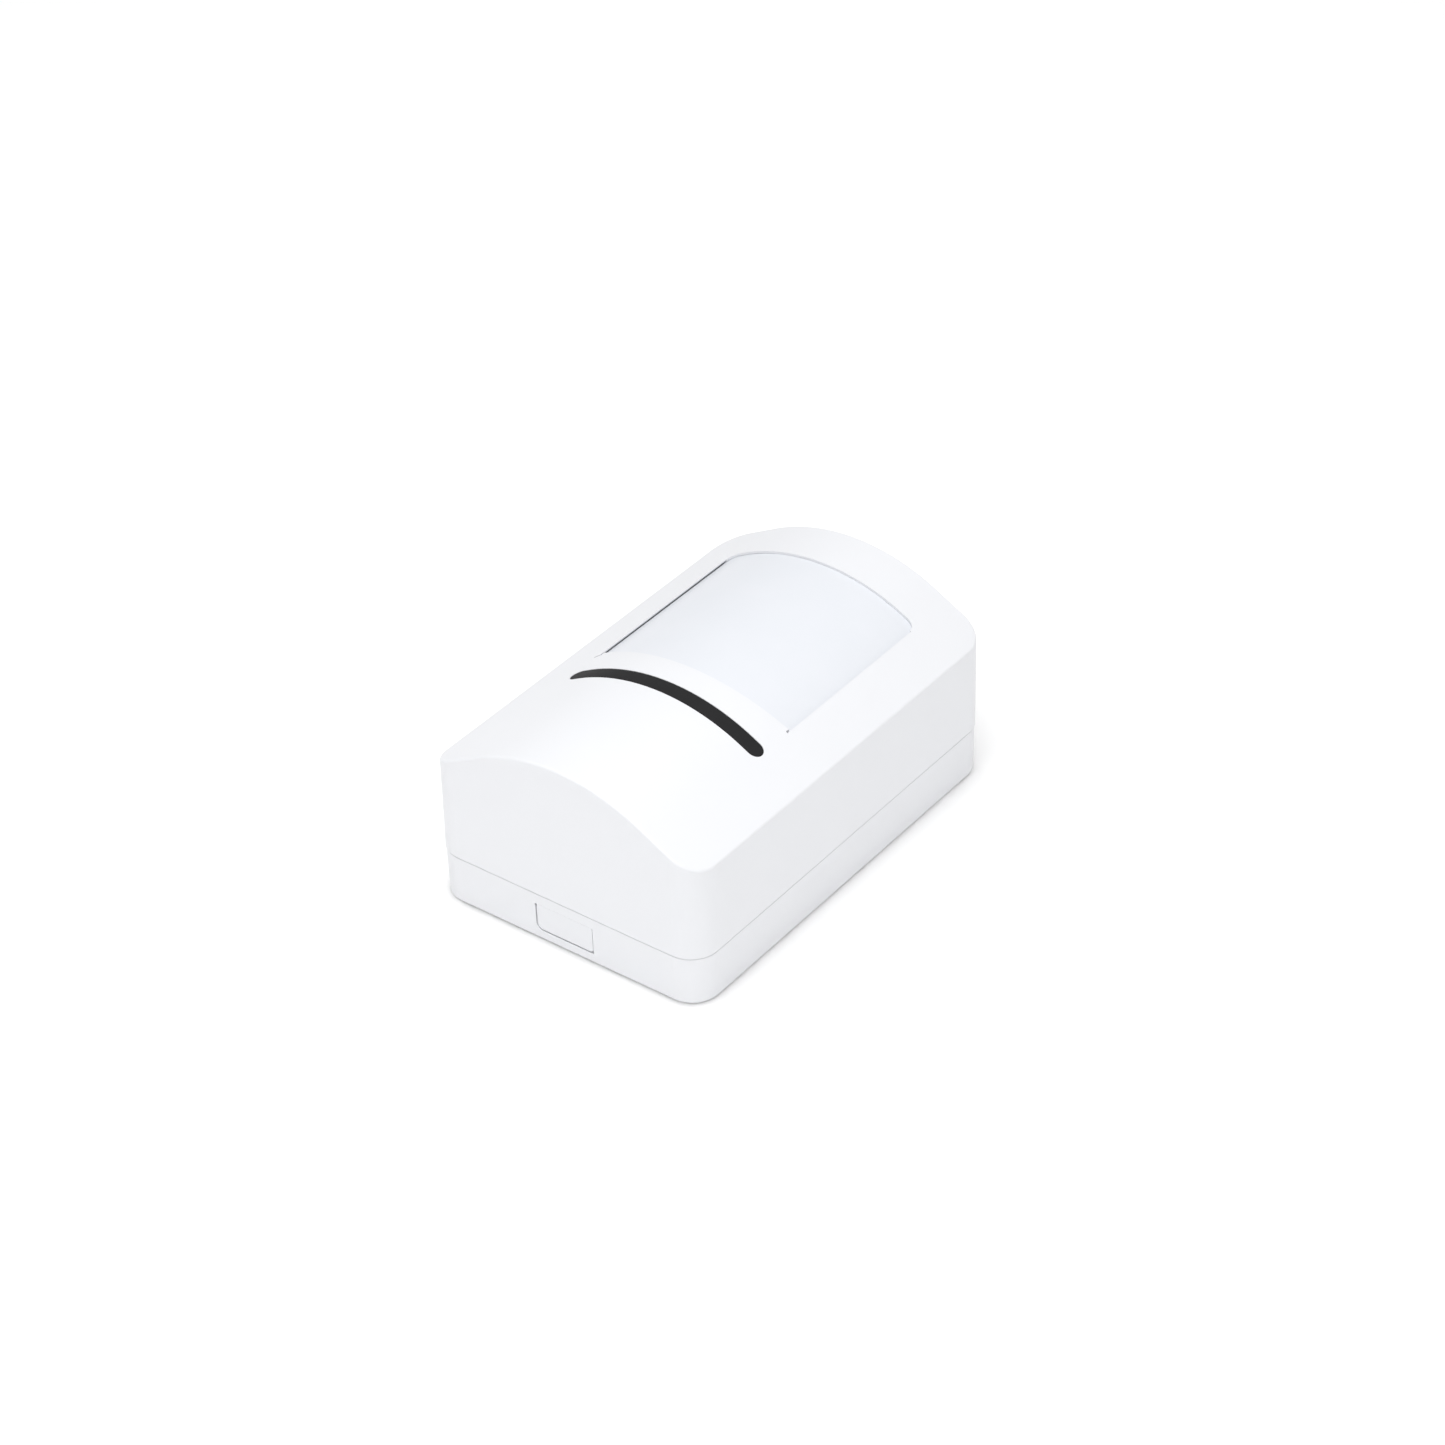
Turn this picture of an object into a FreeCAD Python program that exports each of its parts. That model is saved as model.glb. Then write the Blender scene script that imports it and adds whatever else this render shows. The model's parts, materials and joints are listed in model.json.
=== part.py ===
"""Wall-mount infrared motion detector, lying on its back: a tray with the electronics and a deep cover.

Millimetres. The origin is the centre of the wall face, +Z points out of the front, +Y points to the
lens end (the top on a wall) and -Y to the latch end. Left and right are -X and +X.
"""
import FreeCAD, Part
import math
import os

V = FreeCAD.Vector
ACROSS = V(1, 0, 0)
ALONG = V(0, 1, 0)
UP = V(0, 0, 1)

# Outside form
length = 105.0            # latch end to lens end, at the seam
width = 69.8              # at the seam, the widest place
depth = 46.1              # wall face to the crown of the front
seam_height = 11.9        # wall face to the line where tray and cover meet
corner_radius = 6.7       # upright corners, at the seam
crown_radius = 44.8       # curve of the front, seen from the end
crown_half = 21.3         # half width of the curved part; flat flanks go on from there
cover_lean = 0.010        # draft of the cover's walls, mm per mm of height
cover_far_lean = 0.0      # draft of the cover's wall at the lens end, which stands upright
tray_lean = 0.014         # draft of the tray's walls
tray_inset = 0.15         # the tray is a touch smaller than the cover at the seam
front_edge_round = 0.6    # rounding where the front meets the walls
seam_bevel = 0.2          # small bevel on both sides of the seam
foot_bevel = 0.5          # bevel round the wall face
cover_wall = 2.2
tray_wall = 2.2
floor_thick = 2.0

# Rim where the cover sits on the tray
rim_height = 2.0          # tongue of the tray that stands up inside the cover
rim_gap = 0.15            # round the tongue
rim_head_gap = 0.2        # over the tongue

# Lens window in the front, and what closes it
window_half = 24.3
window_near = -7.6        # middle of the edge towards the latch end
window_far = 40.1
window_corner = 2.2
window_bow = 184.0        # radius of the slightly bowed near edge
lens_sunk = 0.6           # outer face of the lens under the front
lens_thick = 0.6
lens_margin = 1.5         # how far the lens runs in under the cover
lens_gap = 0.06
slot_out = 0.3            # slots along the window's straight sides: past the window's edge
slot_in = 0.15            # and inside it, where the lens ends
slot_near = -7.0
slot_far = 37.9
slot_lip = 0.3            # the cover is thinned to this over the slots
slot_lip_wide = 0.9       # as far out as this
notch_to = (-25.35, -7.85)   # lens notch that runs out from the near end of the left slot
notch_wide = 0.34
frame_margin = 4.6        # how far the frame runs past the window
frame_depth = 1.4
frame_lip_gap = 0.15
peg_radius = 0.8
peg_beyond_lens = 1.6     # centre of a peg past the edge of the lens
peg_spacing = 30.0
peg_out = 0.8             # how far a peg stands through the frame
peg_gap = 0.08

# Dark light strip across the front
strip_y = -16.2
strip_half = 24.8
strip_width = 3.96
strip_sunk = 0.15
strip_gap = 0.1
strip_flange = 1.2        # the flange inside runs past the slot by this much
strip_flange_thick = 1.0
guide_thick = 3.0         # light guide from the lamps up to the strip
guide_foot_half = 8.5
guide_head_half = 19.0
guide_lamp_gap = 0.6

# Release tab in the latch end
tab_half = 7.4            # to the middle of the slit
tab_low = 2.7             # to the middle of the slit, from the wall face
tab_root = 9.2            # hinge line, from the wall face
tab_slit = 0.38           # slit on the left and below
tab_slit_right = 0.14
tab_corner = 1.4          # lower left corner, to the edge of the opening less the slit
tab_corner_right = 0.7
tab_relief = 0.34         # radius of the round ends of the slit
tab_bevel = 0.5           # groove on the inside that lets the tab fold in
hinge_gap = 0.02
nub_above_edge = 0.4      # push nub on the tab's inner face, from the tab's free edge
nub_height = 2.0
nub_half = 4.0
nub_gap = 0.05

# Catch arm that hangs from the cover behind the tab
arm_half = 6.0
arm_thick = 1.5
arm_low = 3.4             # free end of the arm, from the wall face
arm_root = 20.0           # where the arm folds, from the wall face
arm_bevel = 0.3
arm_block = 4.0
ledge_out = 0.8           # ledge of the tray that the catch holds under
ledge_height = 1.6
ledge_beyond_arm = 1.0
ledge_to_arm = 0.3
ledge_to_nose = 0.2
nose_out = 0.75
nose_height = 1.2

# Two hooks at the lens end, which the cover turns on
hook_spacing = 40.0
hook_width = 8.0
hook_thick = 1.2
hook_low = 4.5            # foot of the hook under the seam
hook_toe = 1.1            # thickness of the toe
hook_toe_out = 1.4
hook_up = 6.0             # how far the hook's root climbs the cover's wall
hook_gap = 0.2
hook_side_gap = 0.4
pocket_roof_slope = 0.55  # lets the toe roll out of its pocket

# Wall fixings and cable entry in the floor
wall_hole_radius = 2.2
wall_hole_spacing = 85.0
wall_pad_radius = 4.6
wall_pad_height = 0.8
cable_hole_radius = 3.5
cable_hole_x = 19.0
cable_hole_y = -41.0
knockout_radius = 3.5
knockout_skin = 0.6
knockout_groove = 0.8

# Circuit board on four posts
board_length = 74.0
board_width = 56.0
board_thick = 1.6
board_corner = 2.0
board_centre_y = 1.0
board_drop = 0.4          # underside of the board below the seam
post_inset = 4.5
post_radius = 3.2
pin_radius = 1.4          # locating pins on the two posts by the latch end
pin_up = 1.2
pin_gap = 0.1
screw_radius = 1.45
screw_length = 9.0
screw_head_radius = 2.8
screw_head_height = 1.9
screw_head_round = 0.85
screw_slot = 0.8
screw_end_gap = 0.5
screw_gap = 0.06
screw_board_gap = 0.25

# Sensor
sensor_radius = 4.1
sensor_height = 3.9
sensor_skin = 0.25
sensor_flange = 4.6
sensor_flange_thick = 0.35
sensor_stand = 1.2        # header above the board
filter_length = 4.0
filter_width = 3.0
filter_thick = 0.4
filter_seat = 0.5
header_thick = 0.8
header_gap = 0.05
element_size = 2.6
element_thick = 0.4
lead_radius = 0.23
lead_circle = 2.54
lead_gap = 0.1
lead_out = 1.0            # leads under the board
shroud_radius = 7.2
shroud_top_radius = 6.2
shroud_height = 4.6
shroud_gap = 0.15

# Flat chips with bent leads
chip_width = 3.9
chip_height = 1.5
chip_bevel = 0.25
chip_stand = 0.15
chip_pitch = 1.27
chip_end = 0.5            # body past the last lead
lead_wide = 0.42
lead_thick = 0.2
lead_reach = 1.05
lead_foot = 0.6
controller_pairs = 8
controller_place = (0.0, -5.0)
amplifier_pairs = 4
amplifier_place = (-12.5, 7.0)

# Other parts on the board: size along X, along Y, height
relay_size = (7.5, 15.0, 10.0)
relay_bevel = 0.4
relay_place = (18.5, -4.0)
regulator_size = (6.5, 3.5, 1.6)
regulator_tab = (3.0, 1.4, 0.4)
regulator_place = (10.0, 30.0)
resistor_size = (0.8, 1.6, 0.5)
resistor_rows = (0.8, 26.4)
resistor_pitch = 2.2
resistor_count = 7
small_cap_size = (2.0, 1.25, 1.0)
small_cap_x = 10.8
small_cap_y = (12.5, 15.5, 18.5, 21.5)
diode_size = (4.3, 2.6, 2.1)
diode_places = ((-12.0, 30.5), (-5.0, 30.5), (2.0, 30.5))
crystal_size = (4.6, 11.0, 3.5)
crystal_place = (-12.0, -6.5)
can_radius = 3.15
can_height = 11.0
can_groove = 0.25
can_bevel = 0.5
can_places = ((-20.5, 12.5), (-20.5, 21.5), (20.5, 12.5), (20.5, 21.5))
lamp_size = (3.4, 2.8, 1.9)
lamp_spacing = 6.0
lamp_count = 3

# Tamper switch under a rod of the cover
tamper_place = (-21.0, -22.0)
tamper_size = 6.2
tamper_height = 3.5
tamper_floor = 0.6
plunger_radius = 1.7
plunger_top = 9.0         # above the board, with the cover shut
plunger_gap = 0.08
plunger_foot_gap = 0.1
rod_radius = 2.0
rod_gap = 0.05

# Range trimmer
trimmer_place = (21.0, -22.0)
trimmer_size = 6.6
trimmer_height = 3.6
rotor_radius = 2.4
rotor_thick = 1.3
rotor_gap = 0.1
rotor_slot = 0.7
rotor_slot_long = 3.6
rotor_slot_deep = 0.6

# Jumpers: two pins and a lift-off cap each
jumper_x = -21.0
jumper_y = {"led_jumper_cap": -12.5, "pulse_jumper_cap": -7.0, "relay_jumper_cap": -1.5}
jumper_pitch = 2.54
jumper_base_height = 2.5
jumper_pin = 0.64
jumper_pin_top = 8.5
jumper_fit = 0.04
cap_wide = 2.4
cap_long = 4.9
cap_high = 7.2
cap_end_gap = 0.1         # over the tips of the pins
cap_fit = 0.06

# Terminal block at the latch end of the board
poles = 6
pole_pitch = 5.0
block_end_wall = 0.4
block_deep = 8.0
block_high = 9.6
block_back_wall = 1.2
entry_wide = 3.2
entry_high = 3.2
entry_low = 1.4
well_radius = 1.9
well_back = 3.9           # screw line behind the block's front
clamp_thick = 0.6
clamp_inset = 0.6         # plate behind the block's front
clamp_gap = 0.1
terminal_head_radius = 1.7
terminal_head_high = 1.6
terminal_head_down = 1.2  # top of the head under the top of the block
terminal_shank_radius = 1.1
terminal_slot = 0.5

# Helpers for clean cuts
past = 1.0                # how far a cut runs on past what it cuts
joint_depth = 0.5         # how far a post or rib starts inside the wall it grows from
nearly_half = 0.999       # share of the half width that rounds an end without an empty straight side
closeness = 0.001         # how near a point counts as on a face

# Worked out from the above
half_x = width / 2
half_y = length / 2
board_low = seam_height - board_drop
board_top = board_low + board_thick
board_near = board_centre_y - board_length / 2
window_middle = (window_near + window_far) / 2
sensor_place = (0.0, window_middle)
wall_inside_y = -half_y + tray_wall
ledge_face_y = wall_inside_y + ledge_out
ledge_top = tab_root + ledge_height
arm_face_y = ledge_face_y + ledge_to_arm
strip_half_wide = strip_width / 2
plunger_tip = board_top + plunger_top


def box(low, high):
    """Block between two corners."""
    return Part.makeBox(high[0] - low[0], high[1] - low[1], high[2] - low[2], V(*low))


def centred_box(place, size, z):
    """Block of the given size that stands at height z, centred on a place."""
    low = (place[0] - size[0] / 2, place[1] - size[1] / 2, z)
    return box(low, (place[0] + size[0] / 2, place[1] + size[1] / 2, z + size[2]))


def cylinder(place, radius, z, height):
    """Upright cylinder."""
    return Part.makeCylinder(radius, height, V(place[0], place[1], z), UP)


def slab(points, direction):
    """Flat polygon carried along a direction."""
    corners = [V(*point) for point in points]
    return Part.Face(Part.makePolygon(corners + corners[:1])).extrude(direction)


def slab_yz(points, x_low, x_high):
    """Polygon of (y, z) points carried across from one x to another."""
    return slab([(x_low, y, z) for y, z in points], ACROSS * (x_high - x_low))


def joined(shapes):
    """One solid from pieces that overlap or share faces."""
    whole = shapes[0]
    for shape in shapes[1:]:
        whole = whole.fuse(shape)
    return whole.removeSplitter()


def group(shapes):
    """Separate solids kept in one node."""
    return Part.makeCompound(shapes)


def rounded_rectangle(far_x, far_y, radius, z, centre_y=0.0):
    """Closed outline at height z, its corners quarter circles."""
    edges = []
    quarters = ((1, 1), (-1, 1), (-1, -1), (1, -1))
    starts = []
    for number, (sx, sy) in enumerate(quarters):
        centre = V(sx * (far_x - radius), centre_y + sy * (far_y - radius), z)
        points = [centre + V(math.cos(a), math.sin(a), 0) * radius
                  for a in (math.pi / 4 * (2 * number + step) for step in range(3))]
        starts.append((points[0], points[2]))
        edges.append(Part.Arc(*points).toShape())
    for number, (_, end) in enumerate(starts):
        edges.append(Part.LineSegment(end, starts[(number + 1) % 4][0]).toShape())
    return Part.Wire(Part.__sortEdges__(edges))


def round_plate(far_x, far_y, radius, z, height, centre_y=0.0):
    """Plate with round corners."""
    return Part.Face(rounded_rectangle(far_x, far_y, radius, z, centre_y)).extrude(UP * height)


def outside_outline(inset, lean, far_lean, z):
    """The outside plan at height z, drawn in by inset and by lean per mm of height over the seam."""
    drawn_in = inset + lean * (z - seam_height)
    near_y = drawn_in - half_y
    far_y = half_y - inset - far_lean * (z - seam_height)
    radius = corner_radius - drawn_in
    return rounded_rectangle(half_x - drawn_in, (far_y - near_y) / 2, radius, z, (far_y + near_y) / 2)


def leaning_block(inset, lean, far_lean, z_low, z_high):
    """Block of the outside plan between two heights."""
    outlines = [outside_outline(inset, lean, far_lean, z) for z in (z_low, z_high)]
    return Part.makeLoft(outlines, True, True)


def cover_block(inset, z_low, z_high):
    """Block with the lean of the cover's walls."""
    return leaning_block(inset, cover_lean, cover_far_lean, z_low, z_high)


def under_front(sunk, z_low=0.0, y_low=-length, y_high=length):
    """Everything under the front surface: a crown that runs out into flat flanks, sunk inwards."""
    slope = math.asin(crown_half / crown_radius)
    radius = crown_radius - sunk
    centre_z = depth - crown_radius
    out_x = radius * math.sin(slope)
    out_z = centre_z + radius * math.cos(slope)
    reach = half_x + 2 * cover_wall
    side_z = out_z - (reach - out_x) * math.tan(slope)
    outline = [(-out_x, out_z), (-reach, side_z), (-reach, z_low),
               (reach, z_low), (reach, side_z), (out_x, out_z)]
    corners = [V(x, y_low, z) for x, z in outline]
    edges = [Part.LineSegment(a, b).toShape() for a, b in zip(corners, corners[1:])]
    edges.append(Part.Arc(corners[-1], V(0, y_low, centre_z + radius), corners[0]).toShape())
    return Part.Face(Part.Wire(edges)).extrude(ALONG * (y_high - y_low))


def front_band(sunk, thick):
    """Sheet that follows the front, its outer face sunk by the given amount."""
    return under_front(sunk).cut(under_front(sunk + thick, -past, -length - past, length + past))


def window_block(grow, z_low=seam_height, z_high=depth + past):
    """Upright block over the lens window, grown on every side."""
    far_y = (window_far - window_near) / 2 + grow
    radius = window_corner + max(grow, 0)
    high = z_high - z_low
    plate = round_plate(window_half + grow, far_y, radius, z_low, high, window_middle)
    bow = cylinder((0, window_near + window_bow), window_bow + grow, z_low, high)
    return plate.common(bow)


def side_slots(out, z_high=depth + past):
    """Upright blocks over the slots along the window's straight sides, their outer side moved out."""
    size = (slot_in + slot_out + out, slot_far - slot_near, z_high - seam_height)
    x = window_half - slot_in + size[0] / 2
    return [centred_box((side * x, (slot_far + slot_near) / 2), size, seam_height) for side in (-1, 1)]


def lens_notch():
    """Upright block over the slanting notch at the near end of the left slot."""
    start = V(-window_half - (slot_out - slot_in) / 2, slot_near + notch_wide, seam_height)
    reach = V(notch_to[0], notch_to[1], seam_height) - start
    aside = V(-reach.y, reach.x, 0).normalize() * (notch_wide / 2)
    corners = [start + aside, start - aside, start + reach - aside, start + reach + aside]
    return slab(corners, UP * depth)


def strip_block(grow, z_low=seam_height, z_high=depth + past):
    """Upright block over the strip's slot, its ends half round, grown on every side."""
    wide = strip_half_wide + grow
    return round_plate(strip_half + grow, wide, wide * nearly_half, z_low, z_high - z_low, strip_y)


def edges_where(shape, test):
    """Edges whose ends and middle all pass a test."""
    found = []
    for edge in shape.Edges:
        low, high = edge.ParameterRange
        if all(test(edge.valueAt(low + (high - low) * share)) for share in (0.0, 0.5, 1.0)):
            found.append(edge)
    return found


def front_height(x):
    """Height of the front surface at a distance from the middle."""
    x = abs(x)
    centre_z = depth - crown_radius
    if x <= crown_half:
        return centre_z + math.sqrt(crown_radius ** 2 - x ** 2)
    out_z = centre_z + math.sqrt(crown_radius ** 2 - crown_half ** 2)
    return out_z - (x - crown_half) * math.tan(math.asin(crown_half / crown_radius))


def cover_outside():
    """The cover's outer form, solid, with its edges rounded."""
    bevel_top = seam_height + seam_bevel
    form = cover_block(0, bevel_top, depth + past).common(under_front(0)).removeSplitter()

    def at_edge(point):
        rise = point.z - seam_height
        outside = half_x - cover_lean * rise - abs(point.x)
        ahead = half_y - (cover_far_lean if point.y > 0 else cover_lean) * rise - abs(point.y)
        on_front = abs(point.z - front_height(point.x)) < 10 * closeness
        return on_front and min(outside, ahead) < corner_radius * 0.5

    form = form.makeFillet(front_edge_round, edges_where(form, at_edge))
    outlines = [outside_outline(inset, cover_lean, cover_far_lean, z)
                for inset, z in ((seam_bevel, seam_height), (0, bevel_top))]
    return joined([form, Part.makeLoft(outlines, True, True)])


def hooks():
    """Two hooks at the lens end, which reach under the seam into pockets of the tray."""
    face = half_y - cover_wall - hook_gap
    toe_top = seam_height - hook_low + hook_toe
    foot = seam_height - hook_low
    above_rim = seam_height + rim_height + rim_head_gap + hook_gap
    into_wall = half_y - cover_wall / 2
    outline = [(face - hook_thick, foot), (face + hook_toe_out, foot), (face + hook_toe_out, toe_top),
               (face, toe_top), (face, above_rim), (into_wall, above_rim),
               (into_wall, seam_height + hook_up), (face - hook_thick, seam_height + hook_up)]
    made = []
    for side in (-1, 1):
        middle = side * hook_spacing / 2
        made.append(slab_yz(outline, middle - hook_width / 2, middle + hook_width / 2))
    return made


def arm_holder():
    """Block on the cover's end wall that the catch arm hangs from."""
    low = (-arm_half, -half_y + cover_wall / 2, arm_root)
    return box(low, (arm_half, arm_face_y + arm_thick, arm_root + arm_block))


def tamper_rod():
    """Rod from the cover's roof to the tamper switch."""
    rod = cylinder(tamper_place, rod_radius, plunger_tip + rod_gap, depth)
    return rod.common(under_front(cover_wall / 2))


def peg_places():
    """Four pegs beside the lens that hold the frame."""
    x = window_half + lens_margin + peg_beyond_lens
    return [(side * x, window_middle + end * peg_spacing / 2) for side in (-1, 1) for end in (-1, 1)]


def pegs():
    """Pegs under the cover's roof."""
    made = []
    for place in peg_places():
        low = under_front(cover_wall + frame_depth + peg_out)
        made.append(cylinder(place, peg_radius, 0, depth).common(under_front(cover_wall / 2)).cut(low))
    return made


def front_cover():
    """Deep cover: walls, arched front, window, strip slot, hooks, tamper rod and arm holder."""
    hollow = cover_block(cover_wall, seam_height - past, depth).common(under_front(cover_wall))
    rim = cover_block(cover_wall / 2, seam_height - past, seam_height + rim_height + rim_head_gap)
    shell = cover_outside().cut(hollow).cut(rim)
    shell = shell.cut(window_block(0)).cut(strip_block(0))
    seat = window_block(lens_margin + lens_gap).common(under_front(lens_sunk - lens_gap))
    shell = shell.cut(seat).cut(lens_notch())
    for slot, thinned in zip(side_slots(0), side_slots(slot_lip_wide)):
        shell = shell.cut(slot).cut(thinned.common(under_front(slot_lip)))
    return joined([shell] + hooks() + [arm_holder(), tamper_rod()] + pegs())


def fresnel_lens():
    """Thin sheet that closes the window from inside, cut back along the side slots."""
    sheet = front_band(lens_sunk, lens_thick).common(window_block(lens_margin))
    near = window_near - lens_margin - past
    for side in (-1, 1):
        x = side * (window_half - slot_in + length / 2)
        sheet = sheet.cut(centred_box((x, (near + slot_far) / 2), (length, slot_far - near, depth), 0))
    return sheet


def lens_frame():
    """Frame that holds the lens against the cover, pushed on to the pegs."""
    lip_sunk = lens_sunk + lens_thick + lens_gap
    lip = front_band(lip_sunk, cover_wall + lens_gap - lip_sunk)
    lip = lip.common(window_block(lens_margin - frame_lip_gap))
    plate = front_band(cover_wall + lens_gap, frame_depth).common(window_block(frame_margin))
    frame = joined([lip, plate]).cut(window_block(0))
    for place in peg_places():
        frame = frame.cut(cylinder(place, peg_radius + peg_gap, 0, depth))
    return frame


def led_window():
    """Dark strip in the front, with a flange behind the slot."""
    bar = front_band(strip_sunk, cover_wall + lens_gap - strip_sunk).common(strip_block(-strip_gap))
    flange = front_band(cover_wall + lens_gap, strip_flange_thick).common(strip_block(strip_flange))
    return joined([bar, flange])


def light_guide():
    """Clear fan-shaped blade from the lamps to the strip."""
    low = board_top + lamp_size[2] + guide_lamp_gap
    outline = [(-guide_foot_half, low), (guide_foot_half, low),
               (guide_head_half, depth), (-guide_head_half, depth)]
    y = strip_y - guide_thick / 2
    fan = slab([(x, y, z) for x, z in outline], ALONG * guide_thick)
    return fan.common(under_front(cover_wall + strip_flange_thick + 2 * lens_gap))


def catch_arm():
    """Springy arm behind the release tab; its nose holds under the tray's ledge."""
    top = arm_root - hinge_gap
    nose_top = tab_root + hinge_gap - ledge_to_nose
    face = arm_face_y
    outline = [(face, arm_low), (face + arm_thick, arm_low), (face + arm_thick, top - arm_bevel),
               (face, top), (face, nose_top), (face - nose_out, nose_top), (face, nose_top - nose_height)]
    return slab_yz(outline, -arm_half, arm_half)


def tab_outline(within):
    """Upright outline of the tab's opening (within 0) or of the tab (within 1), square at the hinge."""
    right = tab_half + tab_slit_right * (0.5 - within)
    left = tab_half + tab_slit * (0.5 - within)
    low = tab_low - tab_slit * (0.5 - within)
    radius = tab_corner + tab_slit * (1 - within)
    right_radius = tab_corner_right + tab_slit_right * (1 - within)
    y = -half_y - past
    dip = radius * (1 - math.sqrt(0.5))
    right_dip = right_radius * (1 - math.sqrt(0.5))
    top = [V(right, y, tab_root), V(-left, y, tab_root)]
    left_corner = [V(-left, y, low + radius), V(-left + dip, y, low + dip), V(-left + radius, y, low)]
    right_corner = [V(right - right_radius, y, low), V(right - right_dip, y, low + right_dip),
                    V(right, y, low + right_radius)]
    edges = [Part.LineSegment(*top).toShape(), Part.LineSegment(top[1], left_corner[0]).toShape(),
             Part.Arc(*left_corner).toShape(), Part.LineSegment(left_corner[2], right_corner[0]).toShape(),
             Part.Arc(*right_corner).toShape(), Part.LineSegment(right_corner[2], top[0]).toShape()]
    return Part.Face(Part.Wire(edges))


def tab_reliefs():
    """Round holes at the two ends of the open slit."""
    y = -half_y - past
    places = ((-tab_half, tab_root - tab_relief), (tab_half - tab_relief / 2, tab_low + tab_relief / 2))
    return [Part.makeCylinder(tab_relief, tray_wall + 2 * past, V(x, y, z), ALONG) for x, z in places]


def tray_outside():
    """The tray's outer form, solid, bevelled at the wall face and the seam."""
    form = leaning_block(tray_inset, -tray_lean, -tray_lean, 0, seam_height)
    form = form.makeChamfer(foot_bevel, edges_where(form, lambda p: abs(p.z) < closeness))
    return form.makeChamfer(seam_bevel, edges_where(form, lambda p: abs(p.z - seam_height) < closeness))


def release_tab():
    """Push tab cut out of the latch end, folding in about its upper edge."""
    reach = ALONG * (wall_inside_y + half_y + past)
    tab = tab_outline(1).extrude(reach).common(tray_outside())
    outer_y = -half_y + tray_inset + tray_lean * (seam_height - tab_root)
    top = tab_root - hinge_gap
    wedge = tab_bevel * (wall_inside_y + past - outer_y) / tray_wall
    inner_y = wall_inside_y + past
    bevel = [(outer_y - past, top), (outer_y, top), (inner_y, top - wedge),
             (inner_y, tab_root + past), (outer_y - past, tab_root + past)]
    nub_low = tab_low + tab_slit / 2 + nub_above_edge
    nub = box((-nub_half, wall_inside_y - past, nub_low),
              (nub_half, arm_face_y - nub_gap, nub_low + nub_height))
    tab = joined([tab, nub]).cut(slab_yz(bevel, -half_x, half_x))
    for hole in tab_reliefs():
        tab = tab.cut(hole)
    return tab


def post_places(end):
    """Board posts at one end of the board: 1 is the lens end, -1 the latch end."""
    y = board_centre_y + end * (board_length / 2 - post_inset)
    return [(side * (board_width / 2 - post_inset), y) for side in (-1, 1)]


def hook_pockets():
    """Pockets in the tray's far wall for the hooks' toes, and gaps in the rim above them."""
    face = half_y - tray_wall
    low = seam_height - hook_low - hook_gap
    bottom_y = half_y - cover_wall + hook_toe_out
    roof = seam_height - hook_low + hook_toe + hook_gap / 2
    mouth = roof + (bottom_y - face) * pocket_roof_slope
    outline = [(face - past, low), (bottom_y, low), (bottom_y, roof), (face, mouth), (face - past, mouth)]
    cuts = []
    for side in (-1, 1):
        low_x = side * hook_spacing / 2 - hook_width / 2 - hook_side_gap
        high_x = low_x + hook_width + 2 * hook_side_gap
        cuts.append(slab_yz(outline, low_x, high_x))
        cuts.append(box((low_x, face - past, seam_height), (high_x, half_y, seam_height + rim_height + past)))
    return cuts


def rear_housing():
    """Tray: floor, walls, rim, board posts, catch ledge, wall holes and cable entry."""
    rim_inset = cover_wall / 2 + rim_gap
    rim = cover_block(rim_inset, floor_thick, seam_height + rim_height)
    tray = tray_outside().fuse(rim)
    inner_radius = corner_radius - tray_wall
    tray = tray.cut(round_plate(half_x - tray_wall, half_y - tray_wall, inner_radius, floor_thick, depth))
    ledge_half = arm_half + ledge_beyond_arm
    ledge = box((-ledge_half, wall_inside_y - joint_depth, tab_root), (ledge_half, ledge_face_y, ledge_top))
    solids = [tray, ledge]
    sunk_floor = floor_thick - joint_depth
    for place in post_places(1) + post_places(-1):
        solids.append(cylinder(place, post_radius, sunk_floor, board_low - sunk_floor))
    pin_high = board_thick + pin_up + joint_depth
    for place in post_places(-1):
        solids.append(cylinder(place, pin_radius, board_low - joint_depth, pin_high))
    wall_places = [(0, end * wall_hole_spacing / 2) for end in (-1, 1)]
    for place in wall_places:
        solids.append(cylinder(place, wall_pad_radius, sunk_floor, wall_pad_height + joint_depth))
    tray = joined(solids)
    bore_low = board_top - screw_length - screw_end_gap
    for place in post_places(1):
        tray = tray.cut(cylinder(place, screw_radius + screw_gap, bore_low, depth))
    for place in wall_places:
        tray = tray.cut(cylinder(place, wall_hole_radius, -past, depth))
    tray = tray.cut(cylinder((cable_hole_x, cable_hole_y), cable_hole_radius, -past, depth))
    knockout_place = (-cable_hole_x, cable_hole_y)
    ring = cylinder(knockout_place, knockout_radius, knockout_skin, depth)
    tray = tray.cut(ring.cut(cylinder(knockout_place, knockout_radius - knockout_groove, 0, floor_thick)))
    tray = tray.cut(tab_outline(0).extrude(ALONG * (tray_wall + past)))
    for cut in hook_pockets() + tab_reliefs():
        tray = tray.cut(cut)
    return tray


def circuit_board():
    """Board with its fixing holes and the sensor's lead holes."""
    board = round_plate(board_width / 2, board_length / 2, board_corner, board_low, board_thick,
                        board_centre_y)
    holes = [(place, screw_radius + screw_board_gap) for place in post_places(1)]
    holes += [(place, pin_radius + pin_gap) for place in post_places(-1)]
    holes += [(place, lead_radius + lead_gap) for place in sensor_lead_places()]
    for place, radius in holes:
        board = board.cut(cylinder(place, radius, board_low - past, board_thick + 2 * past))
    return board


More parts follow.
